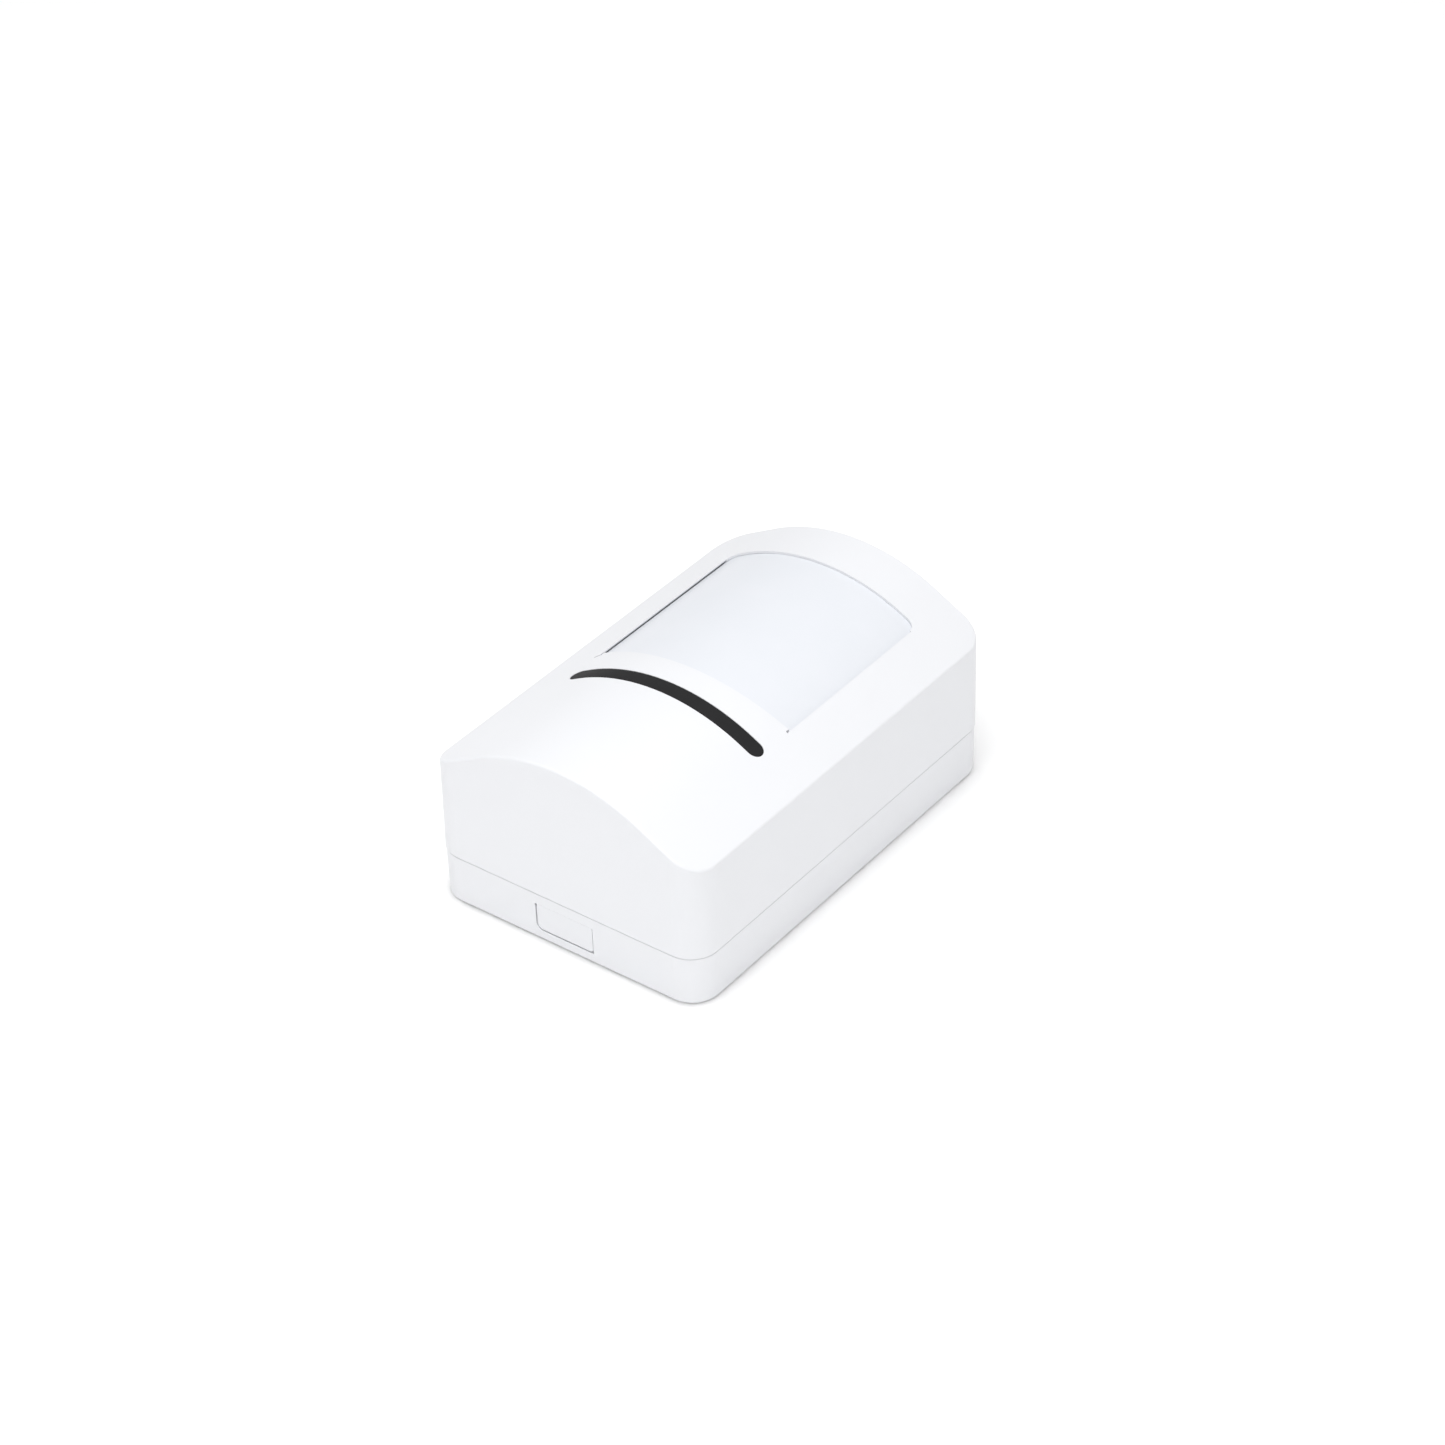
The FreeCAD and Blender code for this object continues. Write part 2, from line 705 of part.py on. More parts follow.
def board_screws():
    """Pan-head screws through the board into the posts."""
    made = []
    for place in post_places(1):
        head = cylinder(place, screw_head_radius, board_top, screw_head_height)
        rim = edges_where(head, lambda p: abs(p.z - board_top - screw_head_height) < closeness)
        head = head.makeFillet(screw_head_round, rim)
        shank = cylinder(place, screw_radius, board_top - screw_length, screw_length)
        screw = joined([head, shank])
        cross = (screw_head_radius, screw_slot, screw_head_height)
        z = board_top + screw_head_height / 2
        for size in (cross, (cross[1], cross[0], cross[2])):
            screw = screw.cut(centred_box(place, size, z))
        made.append(screw)
    return group(made)


def sensor_lead_places():
    """Three leads on a circle, with the fourth quarter left out."""
    x, y = sensor_place
    turns = [math.pi / 4 + quarter * math.pi / 2 for quarter in range(3)]
    return [(x + lead_circle * math.cos(turn), y + lead_circle * math.sin(turn)) for turn in turns]


def sensor_can():
    """Metal cap with a flange and an oblong opening in its top."""
    low = board_top + sensor_stand
    cap = cylinder(sensor_place, sensor_radius, low, sensor_height)
    cap = joined([cap, cylinder(sensor_place, sensor_flange, low, sensor_flange_thick)])
    inner_radius = sensor_radius - sensor_skin
    cap = cap.cut(cylinder(sensor_place, inner_radius, low - past, sensor_height - sensor_skin + past))
    opening = (filter_length, filter_width, sensor_height)
    return cap.cut(centred_box(sensor_place, opening, low + header_thick))


def sensor_filter():
    """Dark infrared filter, bonded under the opening of the cap."""
    z = board_top + sensor_stand + sensor_height - sensor_skin - filter_thick
    size = (filter_length + 2 * filter_seat, filter_width + 2 * filter_seat, filter_thick)
    return centred_box(sensor_place, size, z)


def sensor_header():
    """Disc that closes the cap, with three leads down through the board."""
    low = board_top + sensor_stand
    parts = [cylinder(sensor_place, sensor_radius - sensor_skin - header_gap, low, header_thick)]
    lead_low = board_low - lead_out
    for place in sensor_lead_places():
        parts.append(cylinder(place, lead_radius, lead_low, low + header_thick / 2 - lead_low))
    return joined(parts)


def sensor_element():
    """Ceramic plate that senses the heat, on the header."""
    size = (element_size, element_size, element_thick)
    return centred_box(sensor_place, size, board_top + sensor_stand + header_thick)


def sensor_shroud():
    """Collar round the sensor that keeps insects and draughts off."""
    foot = V(*sensor_place, board_top)
    outer = Part.makeCone(shroud_radius, shroud_top_radius, shroud_height, foot, UP)
    bore = cylinder(sensor_place, sensor_flange + shroud_gap, board_top - past, shroud_height + 2 * past)
    return outer.cut(bore)


def chip_body(place, pairs):
    """Moulded body of a chip, its top edges bevelled."""
    size = ((pairs - 1) * chip_pitch + 2 * chip_end + lead_wide, chip_width, chip_height)
    body = centred_box(place, size, board_top + chip_stand)
    top = board_top + chip_stand + chip_height
    return body.makeChamfer(chip_bevel, edges_where(body, lambda p: abs(p.z - top) < closeness))


def chip_lead_set(place, pairs):
    """Gull-wing leads along both long sides of a chip."""
    middle = board_top + chip_stand + chip_height / 2
    made = []
    for number in range(pairs):
        x = place[0] + (number - (pairs - 1) / 2) * chip_pitch - lead_wide / 2
        for side in (-1, 1):
            y = place[1] + side * chip_width / 2
            knee = y + side * (lead_reach - lead_foot)
            toe = y + side * lead_reach
            bend = knee - side * lead_thick
            outline = [(y, middle), (knee, middle), (knee, board_top + lead_thick),
                       (toe, board_top + lead_thick), (toe, board_top), (bend, board_top),
                       (bend, middle - lead_thick), (y, middle - lead_thick)]
            made.append(slab_yz(outline, x, x + lead_wide))
    return made


def controller_chip():
    """Controller."""
    return chip_body(controller_place, controller_pairs)


def amplifier_chip():
    """Signal amplifier."""
    return chip_body(amplifier_place, amplifier_pairs)


def chip_leads():
    """Leads of both chips."""
    controller_leads = chip_lead_set(controller_place, controller_pairs)
    return group(controller_leads + chip_lead_set(amplifier_place, amplifier_pairs))


def voltage_regulator():
    """Regulator body with its soldered tab."""
    body = centred_box(regulator_place, regulator_size, board_top)
    tab_place = (regulator_place[0], regulator_place[1] + (regulator_size[1] + regulator_tab[1]) / 2)
    return joined([body, centred_box(tab_place, regulator_tab, board_top)])


def electrolytic_capacitors():
    """Upright cans, each with the crimp groove near its foot and a bevelled top."""
    made = []
    for place in can_places:
        can = cylinder(place, can_radius, board_top, can_height)
        top = board_top + can_height
        can = can.makeChamfer(can_bevel, edges_where(can, lambda p: abs(p.z - top) < closeness))
        crimp = V(*place, board_top + can_radius / 2)
        made.append(can.cut(Part.makeTorus(can_radius + can_groove, 2 * can_groove, crimp, UP)))
    return group(made)


def chip_resistors():
    """Rows of small resistors."""
    made = []
    for y in resistor_rows:
        for number in range(resistor_count):
            x = (number - (resistor_count - 1) / 2) * resistor_pitch
            made.append(centred_box((x, y), resistor_size, board_top))
    return group(made)


def chip_capacitors():
    """Small capacitors on both sides of the sensor."""
    places = [(side * small_cap_x, y) for side in (-1, 1) for y in small_cap_y]
    return group([centred_box(place, small_cap_size, board_top) for place in places])


def protection_diodes():
    """Diodes by the supply input."""
    return group([centred_box(place, diode_size, board_top) for place in diode_places])


def quartz_crystal():
    """Low metal can with round ends."""
    far_x, far_y, high = crystal_size[0] / 2, crystal_size[1] / 2, crystal_size[2]
    can = round_plate(far_x, far_y, far_x * nearly_half, board_top, high, crystal_place[1])
    return can.translated(V(crystal_place[0], 0, 0))


def alarm_relay():
    """Relay, its top edges bevelled."""
    body = centred_box(relay_place, relay_size, board_top)
    top = board_top + relay_size[2]
    return body.makeChamfer(relay_bevel, edges_where(body, lambda p: abs(p.z - top) < closeness))


def status_leds():
    """Lamps under the foot of the light guide."""
    xs = [(number - (lamp_count - 1) / 2) * lamp_spacing for number in range(lamp_count)]
    return group([centred_box((x, strip_y), lamp_size, board_top) for x in xs])


def tamper_switch():
    """Switch body with a bore for its plunger."""
    body = centred_box(tamper_place, (tamper_size, tamper_size, tamper_height), board_top)
    low = board_top + tamper_floor
    return body.cut(cylinder(tamper_place, plunger_radius + plunger_gap, low, tamper_height))


def tamper_plunger():
    """Plunger that the cover's rod holds down."""
    low = board_top + tamper_floor + plunger_foot_gap
    return cylinder(tamper_place, plunger_radius, low, plunger_tip - low)


def range_trimmer():
    """Trimmer body with a round recess."""
    body = centred_box(trimmer_place, (trimmer_size, trimmer_size, trimmer_height), board_top)
    z = board_top + trimmer_height - rotor_thick
    return body.cut(cylinder(trimmer_place, rotor_radius + rotor_gap, z, rotor_thick + past))


def range_trimmer_rotor():
    """Rotor with a cross slot for a screwdriver."""
    z = board_top + trimmer_height - rotor_thick
    rotor = cylinder(trimmer_place, rotor_radius, z, rotor_thick)
    cross = (rotor_slot_long, rotor_slot, rotor_slot_deep + past)
    for size in (cross, (cross[1], cross[0], cross[2])):
        rotor = rotor.cut(centred_box(trimmer_place, size, z + rotor_thick - rotor_slot_deep))
    return rotor


def jumper_pin_places(y):
    """The two pins of one jumper."""
    return [(jumper_x + side * jumper_pitch / 2, y) for side in (-1, 1)]


def jumper_headers():
    """Base of each pair of pins."""
    made = []
    hole = jumper_pin + 2 * jumper_fit
    size = (2 * jumper_pitch, jumper_pitch, jumper_base_height)
    for y in jumper_y.values():
        base = centred_box((jumper_x, y), size, board_top)
        for place in jumper_pin_places(y):
            base = base.cut(centred_box(place, (hole, hole, jumper_base_height + 2 * past), board_top - past))
        made.append(base)
    return group(made)


def jumper_pins():
    """Square pins that stand on the board."""
    size = (jumper_pin, jumper_pin, jumper_pin_top)
    places = [place for y in jumper_y.values() for place in jumper_pin_places(y)]
    return group([centred_box(place, size, board_top) for place in places])


def jumper_cap(y):
    """Cap that bridges two pins and lifts off."""
    low = board_top + jumper_base_height
    cap = centred_box((jumper_x, y), (cap_long, cap_wide, cap_high), low)
    bore = jumper_pin + 2 * cap_fit
    deep = jumper_pin_top - jumper_base_height + cap_end_gap
    for place in jumper_pin_places(y):
        cap = cap.cut(centred_box(place, (bore, bore, deep + past), low - past))
    return cap


def pole_xs():
    """Middle of each pole of the terminal block."""
    return [(number - (poles - 1) / 2) * pole_pitch for number in range(poles)]


def terminal_block():
    """Housing with a wire entry and a screw well for each pole."""
    half = poles * pole_pitch / 2 + block_end_wall
    block = box((-half, board_near, board_top), (half, board_near + block_deep, board_top + block_high))
    low = board_top + entry_low
    back = board_near + block_deep - block_back_wall
    entry_half = entry_wide / 2
    for x in pole_xs():
        entry = box((x - entry_half, board_near - past, low), (x + entry_half, back, low + entry_high))
        well = cylinder((x, board_near + well_back), well_radius, low + clamp_thick, block_high)
        block = block.cut(entry).cut(well)
    return block


def terminal_clamps():
    """Brass plates on the floor of the wire entries."""
    low = board_top + entry_low
    near = board_near + clamp_inset
    far = board_near + block_deep - block_back_wall - clamp_gap
    half = entry_wide / 2 - clamp_gap
    return group([box((x - half, near, low), (x + half, far, low + clamp_thick)) for x in pole_xs()])


def terminal_screws():
    """Clamp screws in their wells, a slot across each head."""
    top = board_top + block_high - terminal_head_down
    foot = board_top + entry_low + clamp_thick
    made = []
    for x in pole_xs():
        place = (x, board_near + well_back)
        head = cylinder(place, terminal_head_radius, top - terminal_head_high, terminal_head_high)
        screw = joined([head, cylinder(place, terminal_shank_radius, foot, top - terminal_head_high - foot)])
        slot = (3 * terminal_head_radius, terminal_slot, terminal_head_high)
        made.append(screw.cut(centred_box(place, slot, top - terminal_head_high / 2)))
    return group(made)


NODES = {
    "rear_housing": rear_housing, "release_tab": release_tab,
    "front_cover": front_cover, "catch_arm": catch_arm,
    "fresnel_lens": fresnel_lens, "lens_frame": lens_frame,
    "led_window": led_window, "light_guide": light_guide,
    "circuit_board": circuit_board, "board_screws": board_screws,
    "sensor_can": sensor_can, "sensor_filter": sensor_filter, "sensor_header": sensor_header,
    "sensor_element": sensor_element, "sensor_shroud": sensor_shroud,
    "controller_chip": controller_chip, "amplifier_chip": amplifier_chip, "chip_leads": chip_leads,
    "voltage_regulator": voltage_regulator, "electrolytic_capacitors": electrolytic_capacitors,
    "chip_resistors": chip_resistors, "chip_capacitors": chip_capacitors,
    "protection_diodes": protection_diodes, "quartz_crystal": quartz_crystal, "alarm_relay": alarm_relay,
    "status_leds": status_leds, "tamper_switch": tamper_switch, "tamper_plunger": tamper_plunger,
    "range_trimmer": range_trimmer, "range_trimmer_rotor": range_trimmer_rotor,
    "jumper_headers": jumper_headers, "jumper_pins": jumper_pins,
    "terminal_block": terminal_block, "terminal_clamps": terminal_clamps, "terminal_screws": terminal_screws,
}


def main():
    """Write every node as a STEP file."""
    os.makedirs("parts", exist_ok=True)
    shapes = {name: make() for name, make in NODES.items()}
    shapes.update({name: jumper_cap(y) for name, y in jumper_y.items()})
    for name, shape in shapes.items():
        shape.exportStep(f"parts/{name}.step")
        print(f"{name}: {len(shape.Solids)} solids, {shape.Volume:.1f} mm3, valid {shape.isValid()}")


main()
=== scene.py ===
import json
import math
import bmesh
import bpy
import numpy as np
from mathutils import Matrix, Vector


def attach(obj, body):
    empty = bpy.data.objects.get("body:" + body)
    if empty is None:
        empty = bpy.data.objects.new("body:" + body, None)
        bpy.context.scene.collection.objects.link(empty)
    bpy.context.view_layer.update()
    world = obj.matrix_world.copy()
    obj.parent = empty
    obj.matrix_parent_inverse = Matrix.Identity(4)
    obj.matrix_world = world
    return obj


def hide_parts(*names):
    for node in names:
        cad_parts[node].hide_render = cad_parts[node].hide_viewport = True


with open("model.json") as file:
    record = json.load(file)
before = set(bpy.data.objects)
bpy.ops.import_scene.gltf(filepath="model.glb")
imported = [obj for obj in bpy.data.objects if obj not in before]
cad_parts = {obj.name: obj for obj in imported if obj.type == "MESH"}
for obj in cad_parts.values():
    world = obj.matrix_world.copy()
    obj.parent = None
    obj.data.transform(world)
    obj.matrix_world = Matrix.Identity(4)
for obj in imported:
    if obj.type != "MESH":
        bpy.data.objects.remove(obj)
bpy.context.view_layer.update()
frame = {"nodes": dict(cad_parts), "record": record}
nodes = frame["nodes"]
mm = 0.001
print("frame loaded,", len(nodes), "nodes")


# Colours are turned linear in one place, and shader nodes are added by one function

def linear(hexColour):
    channels = [int(hexColour[i:i + 2], 16) / 255 for i in (1, 3, 5)]
    return tuple(c / 12.92 if c <= 0.04045 else ((c + 0.055) / 1.055) ** 2.4 for c in channels) + (1.0,)


def addNode(tree, kind, settings, links=None):
    # A setting is a socket's name or number, or else a property of the node.
    node = tree.nodes.new(kind)
    for name, value in settings.items():
        if isinstance(name, int) or name in node.inputs:
            node.inputs[name].default_value = value
        else:
            setattr(node, name, value)
    for socket, source in (links or {}).items():
        tree.links.new(source, node.inputs[socket])
    return node


def newMaterial(name):
    material = bpy.data.materials.new(name)
    material.use_nodes = True
    material.node_tree.nodes.clear()
    return material, material.node_tree


# Camera

camera = {"azimuth": 37.666, "elevation": 35.774, "roll": -1.671,     # degrees
          "focal": 3815.5, "image": 1445, "sensor": 36.0,             # pixels, pixels, mm
          "distance": 813.0, "target": (0, 0, 19.09), "offset": (1.681, 6.690)}   # mm


def towards(azimuth, elevation):
    # Direction from the object out: azimuth goes from the latch end round to the right side, elevation up
    a, e = math.radians(azimuth), math.radians(elevation)
    return Vector((math.sin(a) * math.cos(e), -math.cos(a) * math.cos(e), math.sin(e)))


def placeCamera(c):
    azimuth, roll = math.radians(c["azimuth"]), math.radians(c["roll"])
    back = towards(c["azimuth"], c["elevation"])
    across = Vector((math.cos(azimuth), math.sin(azimuth), 0))
    above = back.cross(across)
    right = across * math.cos(roll) + above * math.sin(roll)
    up = above * math.cos(roll) - across * math.sin(roll)
    place = Vector(c["target"]) + back * c["distance"] + right * c["offset"][0] + up * c["offset"][1]
    data = bpy.data.cameras.new("photoCamera")
    data.sensor_width = c["sensor"]
    data.lens = c["sensor"] * c["focal"] / c["image"]
    data.clip_start, data.clip_end = 0.01, 20.0
    item = bpy.data.objects.new("photoCamera", data)
    item.matrix_world = Matrix.Translation(place * mm) @ Matrix((right, up, back)).transposed().to_4x4()
    bpy.context.collection.objects.link(item)
    bpy.context.scene.camera = item


placeCamera(camera)
print("camera placed")


# Studio: an even white room, soft boxes round the object and a pale table

studio = {"room": ("#FFFFFF", 0.425),
          "boxes": {   # azimuth, elevation, distance in m, side in m, watts, colour
              "overheadBox": (0, 90, 1.3, 1.3, 11.0, "#FFFFFF"),
              "nearBox": (10, 65, 0.5, 0.35, 0.87, "#FFFFFF"),
              "rightBox": (90, 32, 1.4, 0.9, 0.35, "#FFFFFF"),
              "cameraBox": (45, 32, 1.4, 0.9, 2.2, "#FFFFFF")}}

# Half is in m, the other lengths in mm. Rise is the rim's height as a share of half. Light gets into the table
# inside the oval, and less from fadeFrom of the way to its rim.
table = {"colour": "#FEFEFE", "half": 3.0, "rise": 0.5, "under": 0.02, "turns": 96, "rings": 24,
         "oval": (68, 93), "fadeFrom": 0.88, "spread": 6.0, "glow": 0.03, "roughness": 0.9}


def setRoom(colour, strength):
    world = bpy.data.worlds.new("room")
    world.use_nodes = True
    tree = world.node_tree
    tree.nodes.clear()
    light = addNode(tree, "ShaderNodeBackground", {"Color": linear(colour), "Strength": strength})
    addNode(tree, "ShaderNodeOutputWorld", {}, {"Surface": light.outputs[0]})
    bpy.context.scene.world = world


def addSoftBox(name, azimuth, elevation, distance, side, watts, colour):
    back = towards(azimuth, elevation)
    data = bpy.data.lights.new(name, "AREA")
    data.shape, data.size, data.energy, data.color = "SQUARE", side, watts, linear(colour)[:3]
    item = bpy.data.objects.new(name, data)
    item.matrix_world = Matrix.Translation(back * distance) @ back.to_track_quat("Z", "Y").to_matrix().to_4x4()
    bpy.context.collection.objects.link(item)


def addTable(s):
    # Sheet that lies flat and turns up towards its rim: height grows with the fourth power of the radius. It lies
    # a hair under the object, so that the two faces don't share one plane.
    turn, out = np.meshgrid(np.linspace(0, 2 * np.pi, s["turns"] + 1)[:-1],
                            np.linspace(0, 1, s["rings"] + 1)[1:] ** 1.5)
    reach, under = out * s["half"], s["under"] * mm
    height = s["rise"] * s["half"] * out ** 4 - under
    rim = np.stack([reach * np.cos(turn), reach * np.sin(turn), height], -1).reshape(-1, 3)
    ring = np.arange(rim.shape[0]).reshape(out.shape)
    quads = np.stack([ring[:-1], ring[1:], np.roll(ring[1:], -1, 1), np.roll(ring[:-1], -1, 1)], -1)
    centre = np.stack([np.full(s["turns"], rim.shape[0]), ring[0], np.roll(ring[0], -1)], -1)
    mesh = bpy.data.meshes.new("paleFloor")
    mesh.from_pydata(np.vstack([rim, [[0, 0, -under]]]).tolist(), [],
                     quads.reshape(-1, 4).tolist() + centre.tolist())
    mesh.shade_smooth()
    # Opal acrylic table, lit faintly from below: light spreads a few mm inside it, so the shadow at the foot is
    # close and soft. That only tells near the object, and keeping it to an oval round it keeps the render short.
    material, tree = newMaterial("opalAcrylicTable")
    place = addNode(tree, "ShaderNodeTexCoord", {}).outputs["Object"]
    oval = addNode(tree, "ShaderNodeMapping", {"Scale": [1 / (side * mm) for side in s["oval"]] + [0]},
                   {"Vector": place})
    away = addNode(tree, "ShaderNodeVectorMath", {"operation": "LENGTH"}, {"Vector": oval.outputs[0]})
    near = addNode(tree, "ShaderNodeMapRange",
                   {"From Min": s["fadeFrom"], "From Max": 1.0, "To Min": 1.0, "To Max": 0.0},
                   {"Value": away.outputs["Value"]})
    shader = addNode(tree, "ShaderNodeBsdfPrincipled",
                     {"Base Color": linear(s["colour"]), "Roughness": s["roughness"], "Specular IOR Level": 0.0,
                      "Emission Color": linear(s["colour"]), "Emission Strength": s["glow"],
                      "Subsurface Radius": (1.0, 1.0, 1.0), "Subsurface Scale": s["spread"] * mm},
                     {"Subsurface Weight": near.outputs[0]})
    addNode(tree, "ShaderNodeOutputMaterial", {}, {"Surface": shader.outputs[0]})
    mesh.materials.append(material)
    item = bpy.data.objects.new("paleFloor", mesh)
    bpy.context.collection.objects.link(item)


setRoom(*studio["room"])
for boxName, boxValues in studio["boxes"].items():
    addSoftBox(boxName, *boxValues)
addTable(table)
bpy.context.scene.view_settings.view_transform = "Standard"
print("studio set")


# Finishes. Lengths in mm: cloud is the size of faint tone patches, grain that of the fine texture. Swing is how far
# the texture takes the roughness down and up, relief how strongly its bump shows.

noiseSpan = {"From Min": 0.3, "From Max": 0.7}   # most of a noise texture lies between these
plasticLook = {"swing": (0.04, 0.04), "relief": 0.6}
metalLook = {"swing": (0.06, 0.08), "relief": 0.4, "deep": 0.004}


def mouldedPlastic(name, light, dark, roughness, ior, cloud, grain, deep, extra=None):
    material, tree = newMaterial(name)
    place = addNode(tree, "ShaderNodeTexCoord", {}).outputs["Object"]
    patches = addNode(tree, "ShaderNodeTexNoise", {"Scale": 1 / (cloud * mm), "Detail": 3.0}, {"Vector": place})
    tone = addNode(tree, "ShaderNodeMix", {"data_type": "RGBA", 6: linear(light), 7: linear(dark)},
                   {0: patches.outputs["Fac"]})
    texture = addNode(tree, "ShaderNodeTexNoise", {"Scale": 1 / (grain * mm), "Detail": 2.0, "Roughness": 0.6},
                      {"Vector": place})
    down, up = plasticLook["swing"]
    sheen = addNode(tree, "ShaderNodeMapRange",
                    {**noiseSpan, "To Min": roughness - down, "To Max": roughness + up},
                    {"Value": texture.outputs["Fac"]})
    bump = addNode(tree, "ShaderNodeBump", {"Strength": plasticLook["relief"], "Distance": deep * mm},
                   {"Height": texture.outputs["Fac"]})
    shader = addNode(tree, "ShaderNodeBsdfPrincipled", {"IOR": ior, **(extra or {})},
                     {"Base Color": tone.outputs[2], "Roughness": sheen.outputs[0], "Normal": bump.outputs[0]})
    addNode(tree, "ShaderNodeOutputMaterial", {}, {"Surface": shader.outputs[0]})
    return material


def platedMetal(name, light, dark, roughness, cloud, grain, stretch):
    # Drawn or plated metal: scratches run along one axis, as long as stretch times their width
    material, tree = newMaterial(name)
    place = addNode(tree, "ShaderNodeTexCoord", {}).outputs["Object"]
    drawn = addNode(tree, "ShaderNodeMapping", {"Scale": (1, 1, 1 / stretch)}, {"Vector": place})
    patches = addNode(tree, "ShaderNodeTexNoise", {"Scale": 1 / (cloud * mm), "Detail": 4.0}, {"Vector": place})
    marks = addNode(tree, "ShaderNodeTexNoise", {"Scale": 1 / (grain * mm), "Detail": 3.0},
                    {"Vector": drawn.outputs[0]})
    tone = addNode(tree, "ShaderNodeMix", {"data_type": "RGBA", 6: linear(light), 7: linear(dark)},
                   {0: patches.outputs["Fac"]})
    down, up = metalLook["swing"]
    sheen = addNode(tree, "ShaderNodeMapRange",
                    {**noiseSpan, "To Min": roughness - down, "To Max": roughness + up},
                    {"Value": marks.outputs["Fac"]})
    bump = addNode(tree, "ShaderNodeBump", {"Strength": metalLook["relief"], "Distance": metalLook["deep"] * mm},
                   {"Height": marks.outputs["Fac"]})
    shader = addNode(tree, "ShaderNodeBsdfPrincipled", {"Metallic": 1.0},
                     {"Base Color": tone.outputs[2], "Roughness": sheen.outputs[0], "Normal": bump.outputs[0]})
    addNode(tree, "ShaderNodeOutputMaterial", {}, {"Surface": shader.outputs[0]})
    return material


# Light tone, dark tone, roughness, IOR, cloud, grain, depth of grain, more shader settings
plastics = {
    # ABS from a spark-eroded mould: even satin white with a very fine grain
    "housing_abs": ("#DFE0E3", "#DDDEE1", 0.42, 1.54, 14.0, 0.22, 0.012, None),
    # HDPE sheet: smooth, waxy, milky. Light gets through it, and its tones are set a little darker and bluer as
    # painted shade of the dark inside behind it
    "lens_hdpe": ("#DADCE1", "#D7DADF", 0.34, 1.54, 9.0, 0.8, 0.004, None),
    # ABS, the same white as the cover but from a plainer mould
    "frame_abs": ("#EDEDEE", "#E9E9EA", 0.46, 1.54, 10.0, 0.3, 0.014, None),
    # Polycarbonate dyed smoke grey: nearly black, dull from a fine etch, lets only the lamps through
    "smoked_polycarbonate": ("#29292A", "#252526", 0.50, 1.585, 5.0, 0.3, 0.003, {"Specular IOR Level": 0.048}),
    # Acrylic light guide: clear with polished faces
    "clear_acrylic": ("#F4F8F8", "#EEF4F4", 0.08, 1.49, 8.0, 0.8, 0.002, {"Transmission Weight": 0.9}),
    # Lacquer over copper and glass cloth: deep green, glossy, the weave just telling
    "solder_mask": ("#0E5A2C", "#0B5027", 0.26, 1.52, 6.0, 0.45, 0.004, None),
    # Silicon window with a coating: dark mirror
    "silicon_filter": ("#2A2024", "#1E181C", 0.10, 1.9, 1.5, 0.4, 0.001, None),
    # Alumina: fired white, matt
    "white_ceramic": ("#E8E4D8", "#DCD6C8", 0.62, 1.7, 1.0, 0.12, 0.006, None),
    # Foam collar: dull black with open cells
    "black_foam": ("#1C1C1D", "#121213", 0.92, 1.5, 1.6, 0.35, 0.03, None),
    # Epoxy moulding compound: matt charcoal with a sandy grain
    "black_epoxy": ("#1E1E20", "#18181A", 0.55, 1.55, 1.6, 0.10, 0.010, None),
    # Barium titanate chips: fired tan
    "tan_ceramic": ("#9C7A54", "#87663F", 0.50, 1.7, 0.9, 0.12, 0.006, None),
    # PBT relay case: ivory white, glossy from a polished mould
    "relay_case": ("#E9E8E1", "#E4E2DA", 0.24, 1.55, 6.0, 0.5, 0.004, None),
    # Lamp resin: milky epoxy
    "lamp_resin": ("#F2EEDC", "#EAE4CC", 0.22, 1.53, 1.2, 0.4, 0.003, {"Transmission Weight": 0.25}),
    # Nylon: black, moulded, slightly oily
    "black_nylon": ("#1A1A1C", "#141416", 0.42, 1.53, 3.0, 0.25, 0.010, None),
    # Acetal: dense white, slippery
    "plunger_acetal": ("#E8E7E2", "#E1E0DA", 0.28, 1.48, 2.0, 0.4, 0.004, None),
    # PBT trimmer body: blue, matt
    "trimmer_blue": ("#1E4FA0", "#194590", 0.44, 1.55, 2.0, 0.2, 0.008, None),
    # Polyamide terminal housing: green, satin
    "terminal_green": ("#2E9A5A", "#268A4E", 0.40, 1.53, 5.0, 0.25, 0.010, None),
    # PBT jumper cap: blue, glossy
    "jumper_blue": ("#1D49B0", "#183F9C", 0.26, 1.55, 2.0, 0.4, 0.004, None),
    # Shrunk PVC sleeve of a capacitor: black with a soft gloss
    "pvc_sleeve": ("#16181C", "#101216", 0.30, 1.54, 2.0, 0.5, 0.006, None),
    # Its printed stripe: pale grey
    "sleeve_stripe": ("#AEB2B8", "#A2A6AD", 0.34, 1.54, 1.0, 0.3, 0.004, None),
    # Screen-printed epoxy ink: matt white with a ragged grain
    "legend_ink": ("#E4E4DC", "#D8D8CE", 0.60, 1.55, 0.8, 0.12, 0.004, None),
    # Lacquer where copper lies under it: the same green, lighter
    "mask_over_copper": ("#258C4B", "#207F43", 0.22, 1.52, 2.0, 0.4, 0.004, None),
    # Phosphor gel in a lamp's cup: pale yellow, wet
    "phosphor_gel": ("#E9DC9A", "#DFCF86", 0.12, 1.45, 0.6, 0.3, 0.002, {"Transmission Weight": 0.3})}

